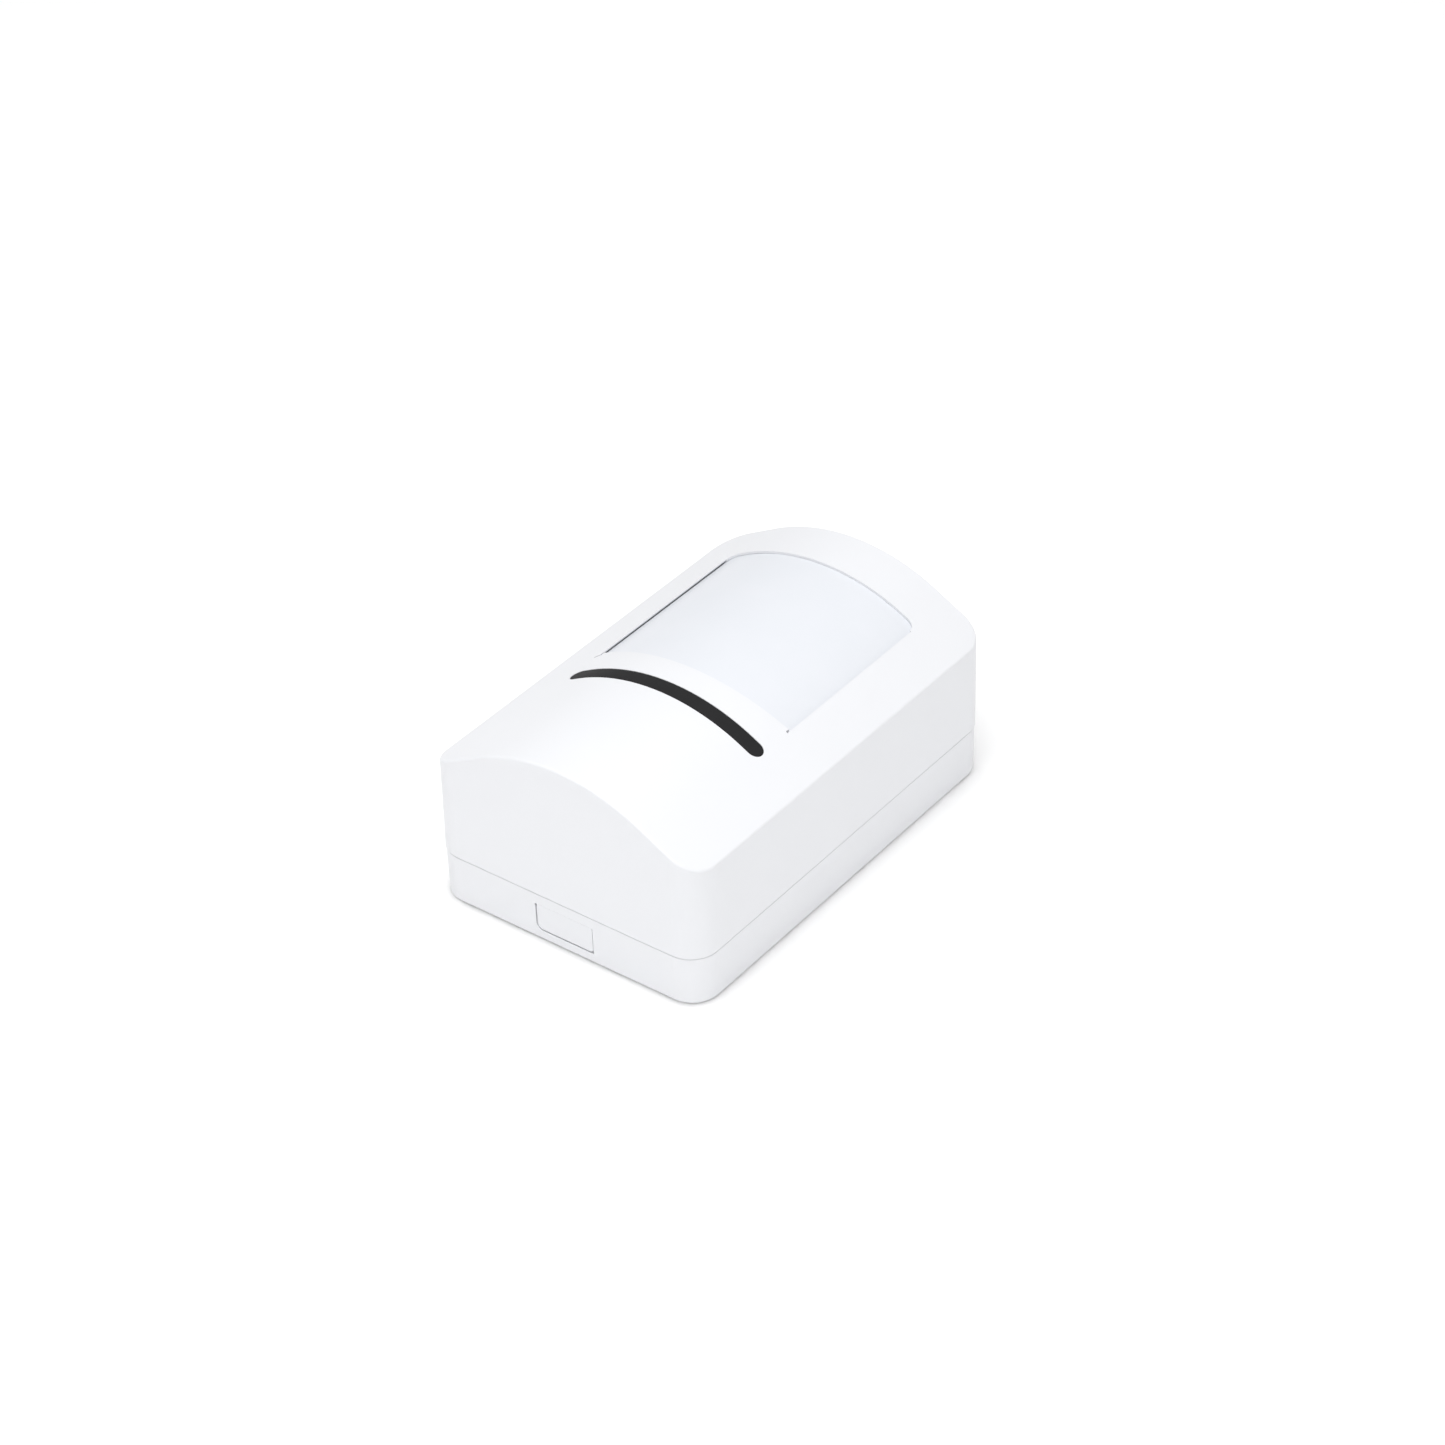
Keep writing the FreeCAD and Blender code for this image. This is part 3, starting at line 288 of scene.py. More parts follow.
# Light tone, dark tone, roughness, cloud, grain, stretch
metals = {
    # Zinc on steel: cool grey with a soft sparkle
    "zinc_steel": ("#C8CACC", "#B4B6BA", 0.30, 1.6, 0.12, 1.0),
    # Nickel on a drawn can: warm grey, bright, fine marks up its wall
    "nickel_can": ("#CDC9C0", "#BCB7AC", 0.22, 2.0, 0.10, 8.0),
    # Gold flash on the sensor's leads
    "gold_lead": ("#D9B25A", "#C79E45", 0.24, 0.8, 0.08, 6.0),
    # Tin over copper leads: bright and a little soft
    "tinned_copper": ("#D2D2D2", "#BDBEC0", 0.26, 0.8, 0.09, 1.0),
    # Aluminium can of a capacitor
    "capacitor_can": ("#D4D5D7", "#C4C6C9", 0.28, 1.8, 0.10, 10.0),
    # Brass clamp: yellow, punched from sheet
    "terminal_brass": ("#C9A254", "#B58E43", 0.30, 1.2, 0.10, 1.0),
    # Solder that has flowed: bright, slightly wavy
    "solder_tin": ("#CFD1D3", "#BFC2C6", 0.20, 0.5, 0.25, 1.0)}

finishes = {name: mouldedPlastic(name, *values) for name, values in plastics.items()}
finishes.update({name: platedMetal(name, *values) for name, values in metals.items()})
slotOfNode = {entry["node"]: entry["material_slot"] for entry in frame["record"]["subparts"]}
for nodeName, slotName in slotOfNode.items():
    mesh = nodes[nodeName].data
    mesh.materials.clear()
    mesh.materials.append(finishes[slotName])
print("finishes made,", len(finishes))


# Shapes. Lengths in mm. A ring runs anticlockwise seen from above, and its points pair up across the x axis.

fullRound = 9.9   # corner radius over any half width here, which roundedRing cuts down to a round end
hair = 0.001      # less than any step between two heights


def addPiece(name, shape, finish, body, replaced=(), sharp=35.0):
    # Edges steeper than sharp, in degrees, stay crisp; replaced are the nodes that the piece stands for
    points, faces = shape
    mesh = bpy.data.meshes.new(name)
    mesh.from_pydata((points * mm).tolist(), [], faces)
    mesh.materials.append(finishes[finish])
    mesh.shade_smooth()
    mesh.set_sharp_from_angle(angle=math.radians(sharp))
    item = bpy.data.objects.new(name, mesh)
    bpy.context.collection.objects.link(item)
    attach(item, body)
    if replaced:
        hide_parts(*replaced)


def gather(shapes):
    # Several closed shapes as one: faces are numbered on past the points before them
    points, faces = [], []
    for shapePoints, shapeFaces in shapes:
        start = sum(len(block) for block in points)
        points.append(shapePoints)
        faces += [[number + start for number in face] for face in shapeFaces]
    return np.vstack(points), faces


def atHeight(plan, height):
    # A flat outline, lifted
    return np.column_stack([plan, np.full(len(plan), height)])


def wallQuads(lower, upper):
    # Faces between rings of point numbers and the rings over them
    return np.stack([lower, np.roll(lower, -1, 1), np.roll(upper, -1, 1), upper], -1).reshape(-1, 4).tolist()


def roundedRing(halfX, halfY, radius, corner, side=1):
    # Upper half from right to left, an arc, a straight side and an arc, then the same mirrored
    radius = min(radius, 0.98 * halfY, 0.98 * halfX)
    turn = np.linspace(0, np.pi / 2, corner)
    right = np.stack([halfX - radius + radius * np.cos(turn), halfY - radius + radius * np.sin(turn)], -1)
    across = np.linspace(halfX - radius, radius - halfX, side + 2)[1:-1]
    half = np.vstack([right, np.stack([across, np.full(side, halfY)], -1), right[::-1] * (-1, 1)])
    return np.vstack([half, half[::-1] * (1, -1)])


def ringShell(rings, rows=1):
    # Rings joined in order, lowest first, a cap under the first and a cap of rows strips over the last
    rings = np.asarray(rings, float)
    count, n = rings.shape[:2]
    index = np.arange(count * n).reshape(count, n)
    near, far = index[0, ::-1][:n // 2], index[0, :n // 2]
    foot = np.stack([far[:-1], near[:-1], near[1:], far[1:]], -1)
    upper, lower = rings[-1, :n // 2], rings[-1, ::-1][:n // 2]
    inner = upper + (lower - upper) * np.linspace(0, 1, rows + 1)[1:-1, None, None]
    numbers = count * n + np.arange(inner.size // 3).reshape(-1, n // 2)
    cap = np.vstack([index[-1:, :n // 2], numbers, index[-1:, ::-1][:, :n // 2]])
    top = np.stack([cap[:-1, :-1], cap[:-1, 1:], cap[1:, 1:], cap[1:, :-1]], -1)
    faces = wallQuads(index[:-1], index[1:]) + foot.tolist() + top.reshape(-1, 4).tolist()
    return np.vstack([rings.reshape(-1, 3), inner.reshape(-1, 3)]), faces


def rectangleRings(place, half, radius, steps, corner=7, side=1):
    # The same rounded rectangle at several heights, drawn in by an inset each time: (inset, height) per step
    return [atHeight(roundedRing(half[0] - inset, half[1] - inset, radius, corner, side) + place, height)
            for inset, height in steps]


def circleRings(place, steps, corner):
    # Circles at several heights: (radius, height) per step
    return [atHeight(roundedRing(r, r, r, corner) + place, height) for r, height in steps]


def raised(profile, level):
    # Steps whose heights are given over a level
    return [(out, level + up) for out, up in profile]


def lathe(profile, centre, n):
    # Profile of (radius, height) points turned round an upright axis, its first and last point on the axis
    profile = np.asarray(profile, float)
    turn = np.linspace(0, 2 * np.pi, n + 1)[:-1]
    reach, height = profile[1:-1, :1], profile[1:-1, 1:]
    ring = np.stack([reach * np.cos(turn), reach * np.sin(turn), height + 0 * turn], -1)
    ends = [[0, 0, profile[0, 1]], [0, 0, profile[-1, 1]]]
    points = np.vstack([ring.reshape(-1, 3), ends]) + (centre[0], centre[1], 0)
    index = np.arange(ring.shape[0] * n).reshape(-1, n)
    foot = np.stack([np.full(n, index.size), np.roll(index[0], -1), index[0]], -1)
    top = np.stack([np.full(n, index.size + 1), index[-1], np.roll(index[-1], -1)], -1)
    return points, wallQuads(index[:-1], index[1:]) + foot.tolist() + top.tolist()


def blocks(centres, sizes, bevel):
    # Small boxes on a height, all at once: four corners at the foot, under the bevel and at the top
    centres, sizes = np.broadcast_arrays(np.atleast_2d(centres).astype(float), np.atleast_2d(sizes).astype(float))
    corner = np.array([(1, 1), (-1, 1), (-1, -1), (1, -1)]) / 2
    inset = np.array([0, 0, 2 * bevel])[None, :, None, None]
    plan = corner * (sizes[:, None, None, :2] - inset)
    rise = sizes[:, 2, None] * (0, 1, 1) - np.array([0, bevel, 0])
    points = np.concatenate([plan, np.broadcast_to(rise[:, :, None, None], plan.shape[:3] + (1,))], -1)
    points = points + centres[:, None, None, :]
    index = np.arange(12).reshape(3, 4)
    one = np.array(wallQuads(index[:-1], index[1:]) + [[0, 3, 2, 1], [8, 9, 10, 11]])
    faces = one[None] + 12 * np.arange(len(centres))[:, None, None]
    return points.reshape(-1, 3), faces.reshape(-1, 4).tolist()


def ribbon(route, width, low, high):
    # Flat strip along a route, a little narrower on top: at each point its sides stand off along the bisector of
    # the two runs
    topShare = 0.9
    route = np.asarray(route, float)
    run = np.diff(route, axis=0)
    run /= np.linalg.norm(run, axis=1, keepdims=True)
    aside = np.stack([-run[:, 1], run[:, 0]], -1)
    before, after = np.vstack([aside[:1], aside]), np.vstack([aside, aside[-1:]])
    mitre = (before + after) / (1 + (before * after).sum(1, keepdims=True)) * width / 2
    inner = mitre * topShare
    corners = [(route - mitre, low), (route - inner, high), (route + inner, high), (route + mitre, low)]
    points = np.stack([atHeight(plan, z) for plan, z in corners], 1)
    index = np.arange(4 * len(route)).reshape(-1, 4)
    sides = np.stack([index[:-1], index[1:], np.roll(index[1:], -1, 1), np.roll(index[:-1], -1, 1)], -1)
    return points.reshape(-1, 3), sides.reshape(-1, 4).tolist() + [index[0].tolist(), index[-1, ::-1].tolist()]


def softStep(value, low, high):
    # From 0 to 1 between two values, level at both ends
    share = np.clip((value - low) / (high - low), 0, 1)
    return share * share * (3 - 2 * share)


def ringTube(rings):
    # Rings joined in order and the last one to the first, so the shape goes round a hole
    rings = np.asarray(rings, float)
    index = np.arange(rings.shape[0] * rings.shape[1]).reshape(rings.shape[:2])
    return rings.reshape(-1, 3), wallQuads(index, np.roll(index, -1, 0))


def arcSteps(inset, top, radius):
    # Quarter round at an upper edge, as six (inset, height) steps
    turn = np.linspace(0, np.pi / 2, 6)
    return [(inset + radius * (1 - math.cos(a)), top - radius * (1 - math.sin(a))) for a in turn]


# Front of the cover, as the lens and the strip follow it

front = {"crown": 44.8, "crownHalf": 21.3, "depth": 46.1}


def frontHeight(x, sunk):
    # A circle over the middle and straight flanks that touch it, all moved inwards by the sunk amount
    slope = math.asin(front["crownHalf"] / front["crown"])
    radius = front["crown"] - sunk
    centre = front["depth"] - front["crown"]
    out = radius * math.sin(slope)
    arc = centre + np.sqrt(np.maximum(radius ** 2 - x ** 2, 0))
    flank = centre + radius * math.cos(slope) - (np.abs(x) - out) * math.tan(slope)
    return np.where(np.abs(x) < out, arc, flank)


# Light strip: smoked bar with round ends, a crowned top and a flange behind the slot

strip = {"y": -16.16, "half": (24.72, 1.87), "sunk": 0.03, "round": 0.1, "crown": 0.03,
         "crownSteps": (0.5, 0.9, 1.3, 1.8), "flangeOut": 1.2, "flangeTop": 2.26, "flangeFoot": 3.26}


def makeStrip(s):
    # Rings of the same stadium outline, each drawn in a little and sunk by its own amount under the front; the
    # crown rises with the square of the distance from the outline
    halfX, halfY = s["half"]

    def ring(inset, sunk):
        plan = roundedRing(halfX - inset, halfY - inset, fullRound, corner=11, side=60)
        return np.column_stack([plan + (0, s["y"]), frontHeight(plan[:, 0], sunk)])

    edge = [(inset, -height) for inset, height in arcSteps(0, -s["sunk"], s["round"])]
    crown = [(inset, s["sunk"] - s["crown"] * (1 - (1 - inset / halfY) ** 2)) for inset in s["crownSteps"]]
    steps = [(-s["flangeOut"], s["flangeFoot"]), (-s["flangeOut"], s["flangeTop"]), (0, s["flangeTop"])]
    addPiece("smokedStrip", ringShell([ring(*step) for step in steps + edge + crown]), "smoked_polycarbonate",
             "cover", ["led_window"])


# Lens: a sheet bent over the front, smooth outside, with rings of fine grooves round each facet's centre inside

lens = {"half": 25.8, "near": -9.1, "far": 41.6, "bow": 185.5, "corner": 3.7, "sunk": 0.6, "thick": 0.6,
        "cutHalf": 24.46, "cutFar": 37.9, "rows": 170, "columns": 170, "firstRow": 0.004,
        "pitch": 1.3, "groove": 0.16, "rimSides": 0.6, "rimEnds": 2.2,
        "tiers": ((4.0, 7, -99.0, 12.0), (20.0, 5, 12.0, 27.0), (33.0, 3, 27.0, 99.0))}   # y, facets, from, to


def makeLens(s):
    # Rows along y between a bowed near edge and a straight far edge, columns across; the half width of a row
    # is the cut width, or the full width past the side slots, less the round of the far corners
    v = np.concatenate([[0.0], np.linspace(s["firstRow"], 1 - s["firstRow"], s["rows"] - 2), [1.0]])
    u = np.linspace(-1, 1, s["columns"])
    y = s["near"] + v * (s["far"] - s["near"])
    toEdge = np.clip(s["corner"] - (s["far"] - y), 0, s["corner"])
    full = s["half"] - s["corner"] + np.sqrt(s["corner"] ** 2 - toEdge ** 2)
    halfX = np.where(y < s["cutFar"], s["cutHalf"], full)
    x = u[None, :] * halfX[:, None]
    bow = s["bow"] - np.sqrt(s["bow"] ** 2 - x ** 2)
    y = y[:, None] + bow * (1 - v[:, None]) ** 3
    # Each tier's grooves are a saw tooth of the distance from the nearest facet's centre
    grooves = np.zeros_like(x)
    for middle, facets, low, high in s["tiers"]:
        facetWide = 2 * s["cutHalf"] / facets
        aside = (x + s["cutHalf"]) % facetWide - facetWide / 2
        reach = np.hypot(aside, y - middle)
        saw = (reach / s["pitch"]) % 1.0
        grooves = np.where((y >= low) & (y < high), saw * s["groove"], grooves)
    inside = np.abs(x) < s["cutHalf"] - s["rimSides"]
    inside &= (y > s["near"] + s["rimEnds"]) & (y < s["far"] - s["rimEnds"])
    outer = np.stack([x, y, frontHeight(x, s["sunk"])], -1)
    inner = np.stack([x, y, frontHeight(x, s["sunk"] + s["thick"] - np.where(inside, grooves, 0))], -1)
    index = np.arange(x.size).reshape(x.shape)
    top = np.stack([index[:-1, :-1], index[:-1, 1:], index[1:, 1:], index[1:, :-1]], -1).reshape(-1, 4)
    rim = np.concatenate([index[0, :-1], index[:-1, -1], index[-1, :0:-1], index[:0:-1, 0]])
    wall = np.stack([rim, rim + x.size, np.roll(rim, -1) + x.size, np.roll(rim, -1)], -1)
    faces = top.tolist() + (top[:, ::-1] + x.size).tolist() + wall.tolist()
    addPiece("grooveLens", (np.vstack([outer.reshape(-1, 3), inner.reshape(-1, 3)]), faces), "lens_hdpe",
             "cover", ["fresnel_lens"], sharp=50.0)


makeStrip(strip)
makeLens(lens)
print("strip and lens made")


# Board: all of this stands on its top face and rides with the tray

board = {"top": 13.1, "sink": 0.02, "copper": 0.035, "ink": 0.022, "trackWide": 0.45, "powerWide": 0.85,
         "inkWide": 0.16}


def bodySteps(foot, top, s):
    # Moulded in two halves: sides lean out to a parting line at mid height, and past a small step in again to a
    # soft top edge
    middle = (foot + top) / 2
    return [(s["lean"], foot), (0, middle - s["line"]), (0, middle + s["line"]), (s["step"], middle + s["line"]),
            (s["lean"], top - s["edgeDown"]), (s["lean"] + s["edgeIn"], top)]


# Flat chips, with a round mark by the first lead

chips = {"stand": 0.15, "high": 1.5, "wide": 3.9, "pitch": 1.27, "ends": 1.42, "corner": 0.15, "lean": 0.14,
         "line": 0.04, "step": 0.035, "edgeDown": 0.03, "edgeIn": 0.04,
         "markRadius": 0.42, "markDeep": 0.07, "markIn": 0.95, "markEdge": (0.12, 0.05),
         "kinds": {   # node, place, pairs of leads
             "controllerBody": ("controller_chip", (0.0, -5.0), 8),
             "amplifierBody": ("amplifier_chip", (-12.5, 7.0), 4)}}


def makeChip(name, node, place, pairs, s):
    # Rings of one outline drawn in below and above mid height; the top sinks inside the mark's radius
    half = (((pairs - 1) * s["pitch"] + s["ends"]) / 2, s["wide"] / 2)
    foot, top = board["top"] + s["stand"], board["top"] + s["stand"] + s["high"]
    rings = rectangleRings(place, half, s["corner"], bodySteps(foot, top, s), corner=3, side=6 * pairs)
    points, faces = ringShell(rings, rows=20)
    mark = np.array(place) - half + s["markIn"]
    reach = np.hypot(*(points[:, :2] - mark).T)
    within = 1 - softStep(reach, s["markRadius"] - s["markEdge"][0], s["markRadius"] + s["markEdge"][1])
    points[:, 2] -= s["markDeep"] * within * (points[:, 2] > top - hair)
    addPiece(name, (points, faces), "black_epoxy", "root", [node])


for chipName, chipValues in chips["kinds"].items():
    makeChip(chipName, *chipValues, chips)


# Capacitors: a black sleeve rolled in over the rim of a can, whose top has a cross stamped into it

cans = {"places": ((-20.5, 12.5), (-20.5, 21.5), (20.5, 12.5), (20.5, 21.5)), "radius": 3.15, "high": 11.0,
        "footIn": 0.25, "footUp": 0.3, "crimpUp": 1.575, "crimpHalf": 0.5, "crimpDeep": 0.24, "roll": 0.45,
        "rim": 2.5, "rimEdge": 0.04, "rimDown": 0.12,
        "discFoot": 0.3, "topDown": 0.07, "discEdge": (0.05, 0.04), "discMiddle": 0.06, "discRings": 24,
        "crossHalf": 0.14, "crossFlat": 0.4, "crossReach": 1.8, "crossEnd": 0.15, "crossDeep": 0.12,
        "stripeHalf": 24.0, "stripeEnds": (2.5, 10.4), "stripeOut": 0.012, "stripeIn": 0.1}   # degrees, mm


def makeSleeve(place, s):
    # Turned profile: foot, crimp as a shallow half wave, wall, quarter round and the step down to the metal
    foot, r = board["top"], s["radius"]
    top, step = foot + s["high"], foot + s["high"] - s["rimDown"]
    turn = np.linspace(-np.pi / 2, np.pi / 2, 9)
    crimp = np.stack([r - s["crimpDeep"] * np.cos(turn), foot + s["crimpUp"] + s["crimpHalf"] * np.sin(turn)], -1)
    roll = [(r - inset, z) for inset, z in arcSteps(0, top, s["roll"])]
    profile = [(0, foot), (r - s["footIn"], foot), (r, foot + s["footUp"])] + crimp.tolist() + roll
    return lathe(profile + [(s["rim"] + s["rimEdge"], top), (s["rim"], step), (0, step)], place, n=64)


def makeCanTop(place, s):
    # Disc on a polar grid; it sinks along both axes as far out as the cross reaches
    low, top = board["top"] + s["high"] - s["discFoot"], board["top"] + s["high"] - s["topDown"]
    edgeIn, edgeDown = s["discEdge"]
    profile = [(0, low), (s["rim"], low), (s["rim"], top - edgeDown)]
    profile += [(r, top) for r in np.linspace(s["rim"] - edgeIn, s["discMiddle"], s["discRings"])] + [(0, top)]
    points, faces = lathe(profile, (0, 0), n=96)
    across = np.abs(points[:, :2]).min(1)
    cross = 1 - softStep(across, s["crossFlat"] * s["crossHalf"], s["crossHalf"])
    cross *= 1 - softStep(np.hypot(*points[:, :2].T), s["crossReach"] - s["crossEnd"], s["crossReach"])
    points[:, 2] -= s["crossDeep"] * cross * (points[:, 2] > top - hair)
    return points + (place[0], place[1], 0), faces


def makeStripe(place, s):
    # Piece of a thin tube wall, an arc outside and the same arc inside, between two heights
    facing = 0.0 if place[0] < 0 else np.pi
    turn = facing + np.radians(np.linspace(-s["stripeHalf"], s["stripeHalf"], 9))
    arc = np.stack([np.cos(turn), np.sin(turn)], -1)
    plan = np.vstack([arc * (s["radius"] + s["stripeOut"]), arc[::-1] * (s["radius"] - s["stripeIn"])]) + place
    return ringShell([atHeight(plan, board["top"] + z) for z in s["stripeEnds"]])


addPiece("capacitorSleeves", gather([makeSleeve(place, cans) for place in cans["places"]]), "pvc_sleeve", "root",
         ["electrolytic_capacitors"])
addPiece("capacitorTops", gather([makeCanTop(place, cans) for place in cans["places"]]), "capacitor_can", "root")
addPiece("capacitorStripes", gather([makeStripe(place, cans) for place in cans["places"]]), "sleeve_stripe", "root")


# Relay: a case over a base, with a joint line above the foot, a sunk top panel and a sealed vent. Base holds
# (inset, height over the board) steps up to the case, vent (radius, height over the panel) steps.

relay = {"place": (18.5, -4.0), "half": (3.75, 7.5), "corner": 0.5, "high": 10.0, "caseIn": 0.03, "edge": 0.42,
         "base": ((0.2, 0), (0.1, 0.12), (0.1, 1.0), (0.32, 1.03), (0.32, 1.2), (0, 1.25)),
         "panelIn": 0.95, "panelDeep": 0.06, "ventAt": (18.5, -9.6),
         "vent": ((0, -0.1), (0.75, -0.1), (0.75, 0.02), (0.69, 0.05), (0.55, 0.05), (0.49, -0.02), (0, -0.02))}


def makeRelay(s):
    # Rings of a rounded rectangle: base, groove, case with a quarter round on top, panel drawn in and sunk
    top = board["top"] + s["high"]
    panel = top - s["panelDeep"]
    steps = raised(s["base"], board["top"]) + arcSteps(s["caseIn"], top, s["edge"])
    steps += [(s["panelIn"], top), (s["panelIn"] + s["panelDeep"], panel)]
    case = ringShell(rectangleRings(s["place"], s["half"], s["corner"], steps))
    addPiece("relayCase", case, "relay_case", "root", ["alarm_relay"])
    addPiece("relayVent", lathe(raised(s["vent"], panel), s["ventAt"], n=40), "relay_case", "root")


makeRelay(relay)


# Lamps: a moulded cup with a dome of phosphor gel in it, soldered at both ends. Foot holds (inset, height over the
# board) steps; rim, cup and gelFoot hold an inset or a radius and a height over the lamp's top.

lamps = {"xs": (-6.0, 0.0, 6.0), "y": -16.2, "half": (1.7, 1.4), "corner": 0.2, "high": 1.9,
         "foot": ((0.05, 0), (0, 0.1)), "rim": ((0, -0.5), (0.04, -0.06), (0.1, 0)),
         "cup": ((1.1, 0), (1.07, -0.05), (0.86, -0.6)), "gelFoot": ((0, -0.58), (0.83, -0.58)),
         "gelRadius": 1.04, "gelLevel": -0.12, "dome": 0.05}


def makeLampBody(x, s):
    # Rounded rectangles up the outside, then circles down the cup to its floor
    place, top = (x, s["y"]), board["top"] + s["high"]
    wall = raised(s["foot"], board["top"]) + raised(s["rim"], top)
    rings = rectangleRings(place, s["half"], s["corner"], wall, corner=9)
    return ringShell(rings + circleRings(place, raised(s["cup"], top), corner=9))


def makeGel(x, s):
    # Turned dome: its height falls with the square of the radius
    top, r = board["top"] + s["high"], s["gelRadius"]
    reach = np.linspace(r, 0, 9)
    dome = np.stack([reach, top + s["gelLevel"] + s["dome"] * (1 - (reach / r) ** 2)], -1).tolist()
    return lathe(raised(s["gelFoot"], top) + dome, (x, s["y"]), n=36)


addPiece("lampCups", gather([makeLampBody(x, lamps) for x in lamps["xs"]]), "lamp_resin", "root", ["status_leds"])
addPiece("lampGel", gather([makeGel(x, lamps) for x in lamps["xs"]]), "phosphor_gel", "root")


# Crystal: a low can with round ends, pressed over a flange. Foot holds (inset, height over the board) steps up to
# the can's wall.

crystal = {"place": (-12.0, -6.5), "half": (2.3, 5.5), "high": 3.5, "canIn": 0.32, "edge": 0.5,
           "foot": ((0.04, 0), (0, 0.06), (0, 0.32), (0.05, 0.38), (0.22, 0.41), (0.3, 0.52))}


def makeCrystal(s):
    # Rings of a stadium: flange, a hollow round over it, wall, and a quarter round up to the top
    steps = raised(s["foot"], board["top"]) + arcSteps(s["canIn"], board["top"] + s["high"], s["edge"])
    can = ringShell(rectangleRings(s["place"], s["half"], fullRound, steps, corner=14))
    addPiece("crystalCan", can, "nickel_can", "root", ["quartz_crystal"], sharp=50.0)


makeCrystal(crystal)


def bothSides(places, away):
    # Every place moved out one way, then every place moved out the other way
    return (places + np.array([-1, 1])[:, None, None] * away).reshape(-1, len(away))


# Diodes and regulator: leaning moulded bodies with flat leads

moulded = {"diodes": ((-12.0, 30.5), (-5.0, 30.5), (2.0, 30.5)), "diodeHalf": (2.15, 1.3), "diodeHigh": 2.1,
           "leadsOut": 0.1, "footSize": (0.75, 1.5, 0.35), "shinSize": (0.28, 1.4, 0.95), "diodeBevel": 0.06,
           "bandSize": (0.5, 2.2, 0.065), "bandIn": 0.75, "bandSunk": 0.05, "bandBevel": 0.01,
           "regulator": (10.0, 30.0), "regulatorHalf": (3.25, 1.75), "regulatorHigh": 1.6,
           "leadPitch": 2.3, "leadSize": (0.75, 1.1, 0.32), "leadUnder": 0.15, "regulatorBevel": 0.07,
           "tabSize": (3.0, 1.5, 0.4), "tabUnder": 0.1, "stand": 0.06, "corner": 0.18, "lean": 0.16,
           "line": 0.05, "step": 0.04, "edgeDown": 0.05, "edgeIn": 0.06}


def mouldedBody(place, half, high, s):
    # Like a chip's body: widest at mid height
    steps = bodySteps(board["top"] + s["stand"], board["top"] + high, s)
    return ringShell(rectangleRings(place, half, s["corner"], steps, corner=4))


def makeMoulded(s):
    diodes = np.array(s["diodes"])
    bodies = [mouldedBody(place, s["diodeHalf"], s["diodeHigh"], s) for place in diodes]
    addPiece("diodeBodies", gather(bodies), "black_epoxy", "root", ["protection_diodes"])
    leads = atHeight(bothSides(diodes, (s["diodeHalf"][0] + s["leadsOut"], 0)), board["top"])
    shapes = [blocks(leads, s[size], s["diodeBevel"]) for size in ("footSize", "shinSize")]
    addPiece("diodeLeads", gather(shapes), "tinned_copper", "root")
    bands = atHeight(diodes - (s["diodeHalf"][0] - s["bandIn"], 0), board["top"] + s["diodeHigh"] - s["bandSunk"])
    addPiece("diodeBands", blocks(bands, s["bandSize"], s["bandBevel"]), "sleeve_stripe", "root")
    body = mouldedBody(s["regulator"], s["regulatorHalf"], s["regulatorHigh"], s)
    addPiece("regulatorBody", body, "black_epoxy", "root", ["voltage_regulator"])
    (x, y), halfY = s["regulator"], s["regulatorHalf"][1]
    leadY = y - (halfY + s["leadSize"][1] / 2 - s["leadUnder"])
    places = [(x + k * s["leadPitch"], leadY, board["top"]) for k in (-1, 0, 1)]
    places.append((x, y + halfY + s["tabSize"][1] / 2 - s["tabUnder"], board["top"]))
    metal = blocks(places, [s["leadSize"]] * 3 + [s["tabSize"]], s["regulatorBevel"])
    addPiece("regulatorLeads", metal, "tinned_copper", "root")


makeMoulded(moulded)


# Small resistors and capacitors keep their drawn bodies; they get plated ends and solder. Each kind of block has
# its distance from the middle, size and bevel.

ends = {"resistorXs": np.arange(-3, 4) * 2.2, "resistorRows": (0.8, 26.4),
        "capacitorXs": (-10.8, 10.8), "capacitorYs": (12.5, 15.5, 18.5, 21.5),
        "resistorEnd": ((0, 0.66, 0), (0.84, 0.32, 0.53), 0.04),
        "capacitorEnd": ((0.84, 0, 0), (0.36, 1.3, 1.03), 0.06),
        "resistorSolder": ((0, 0.98, 0), (0.8, 0.5, 0.3), 0.17),
        "capacitorSolder": ((1.2, 0, 0), (0.6, 1.2, 0.5), 0.24),
        "leadSolder": ((0, 2.95, 0), (0.58, 0.72, 0.12), 0.09),
        "lampSolder": ((1.85, 0, 0), (0.7, 2.0, 0.4), 0.2)}


def grid(xs, ys):
    # Every x with every y, on the board
    x, y = np.meshgrid(xs, ys)
    return np.column_stack([x.ravel(), y.ravel(), np.full(x.size, board["top"])])


def makeEnds(s):
    def endBlocks(places, away, size, bevel):
        return blocks(bothSides(places, away), size, bevel)

    resistors, capacitors = grid(s["resistorXs"], s["resistorRows"]), grid(s["capacitorXs"], s["capacitorYs"])
    addPiece("resistorEnds", endBlocks(resistors, *s["resistorEnd"]), "tinned_copper", "root")
    addPiece("capacitorEnds", endBlocks(capacitors, *s["capacitorEnd"]), "tinned_copper", "root")
    solder = [endBlocks(resistors, *s["resistorSolder"]), endBlocks(capacitors, *s["capacitorSolder"])]
    for _, (x, y), pairs in chips["kinds"].values():
        leads = grid(x + (np.arange(pairs) - (pairs - 1) / 2) * chips["pitch"], [y])
        solder.append(endBlocks(leads, *s["leadSolder"]))
    solder.append(endBlocks(grid(lamps["xs"], [lamps["y"]]), *s["lampSolder"]))
    addPiece("solderFillets", gather(solder), "solder_tin", "root", sharp=80.0)


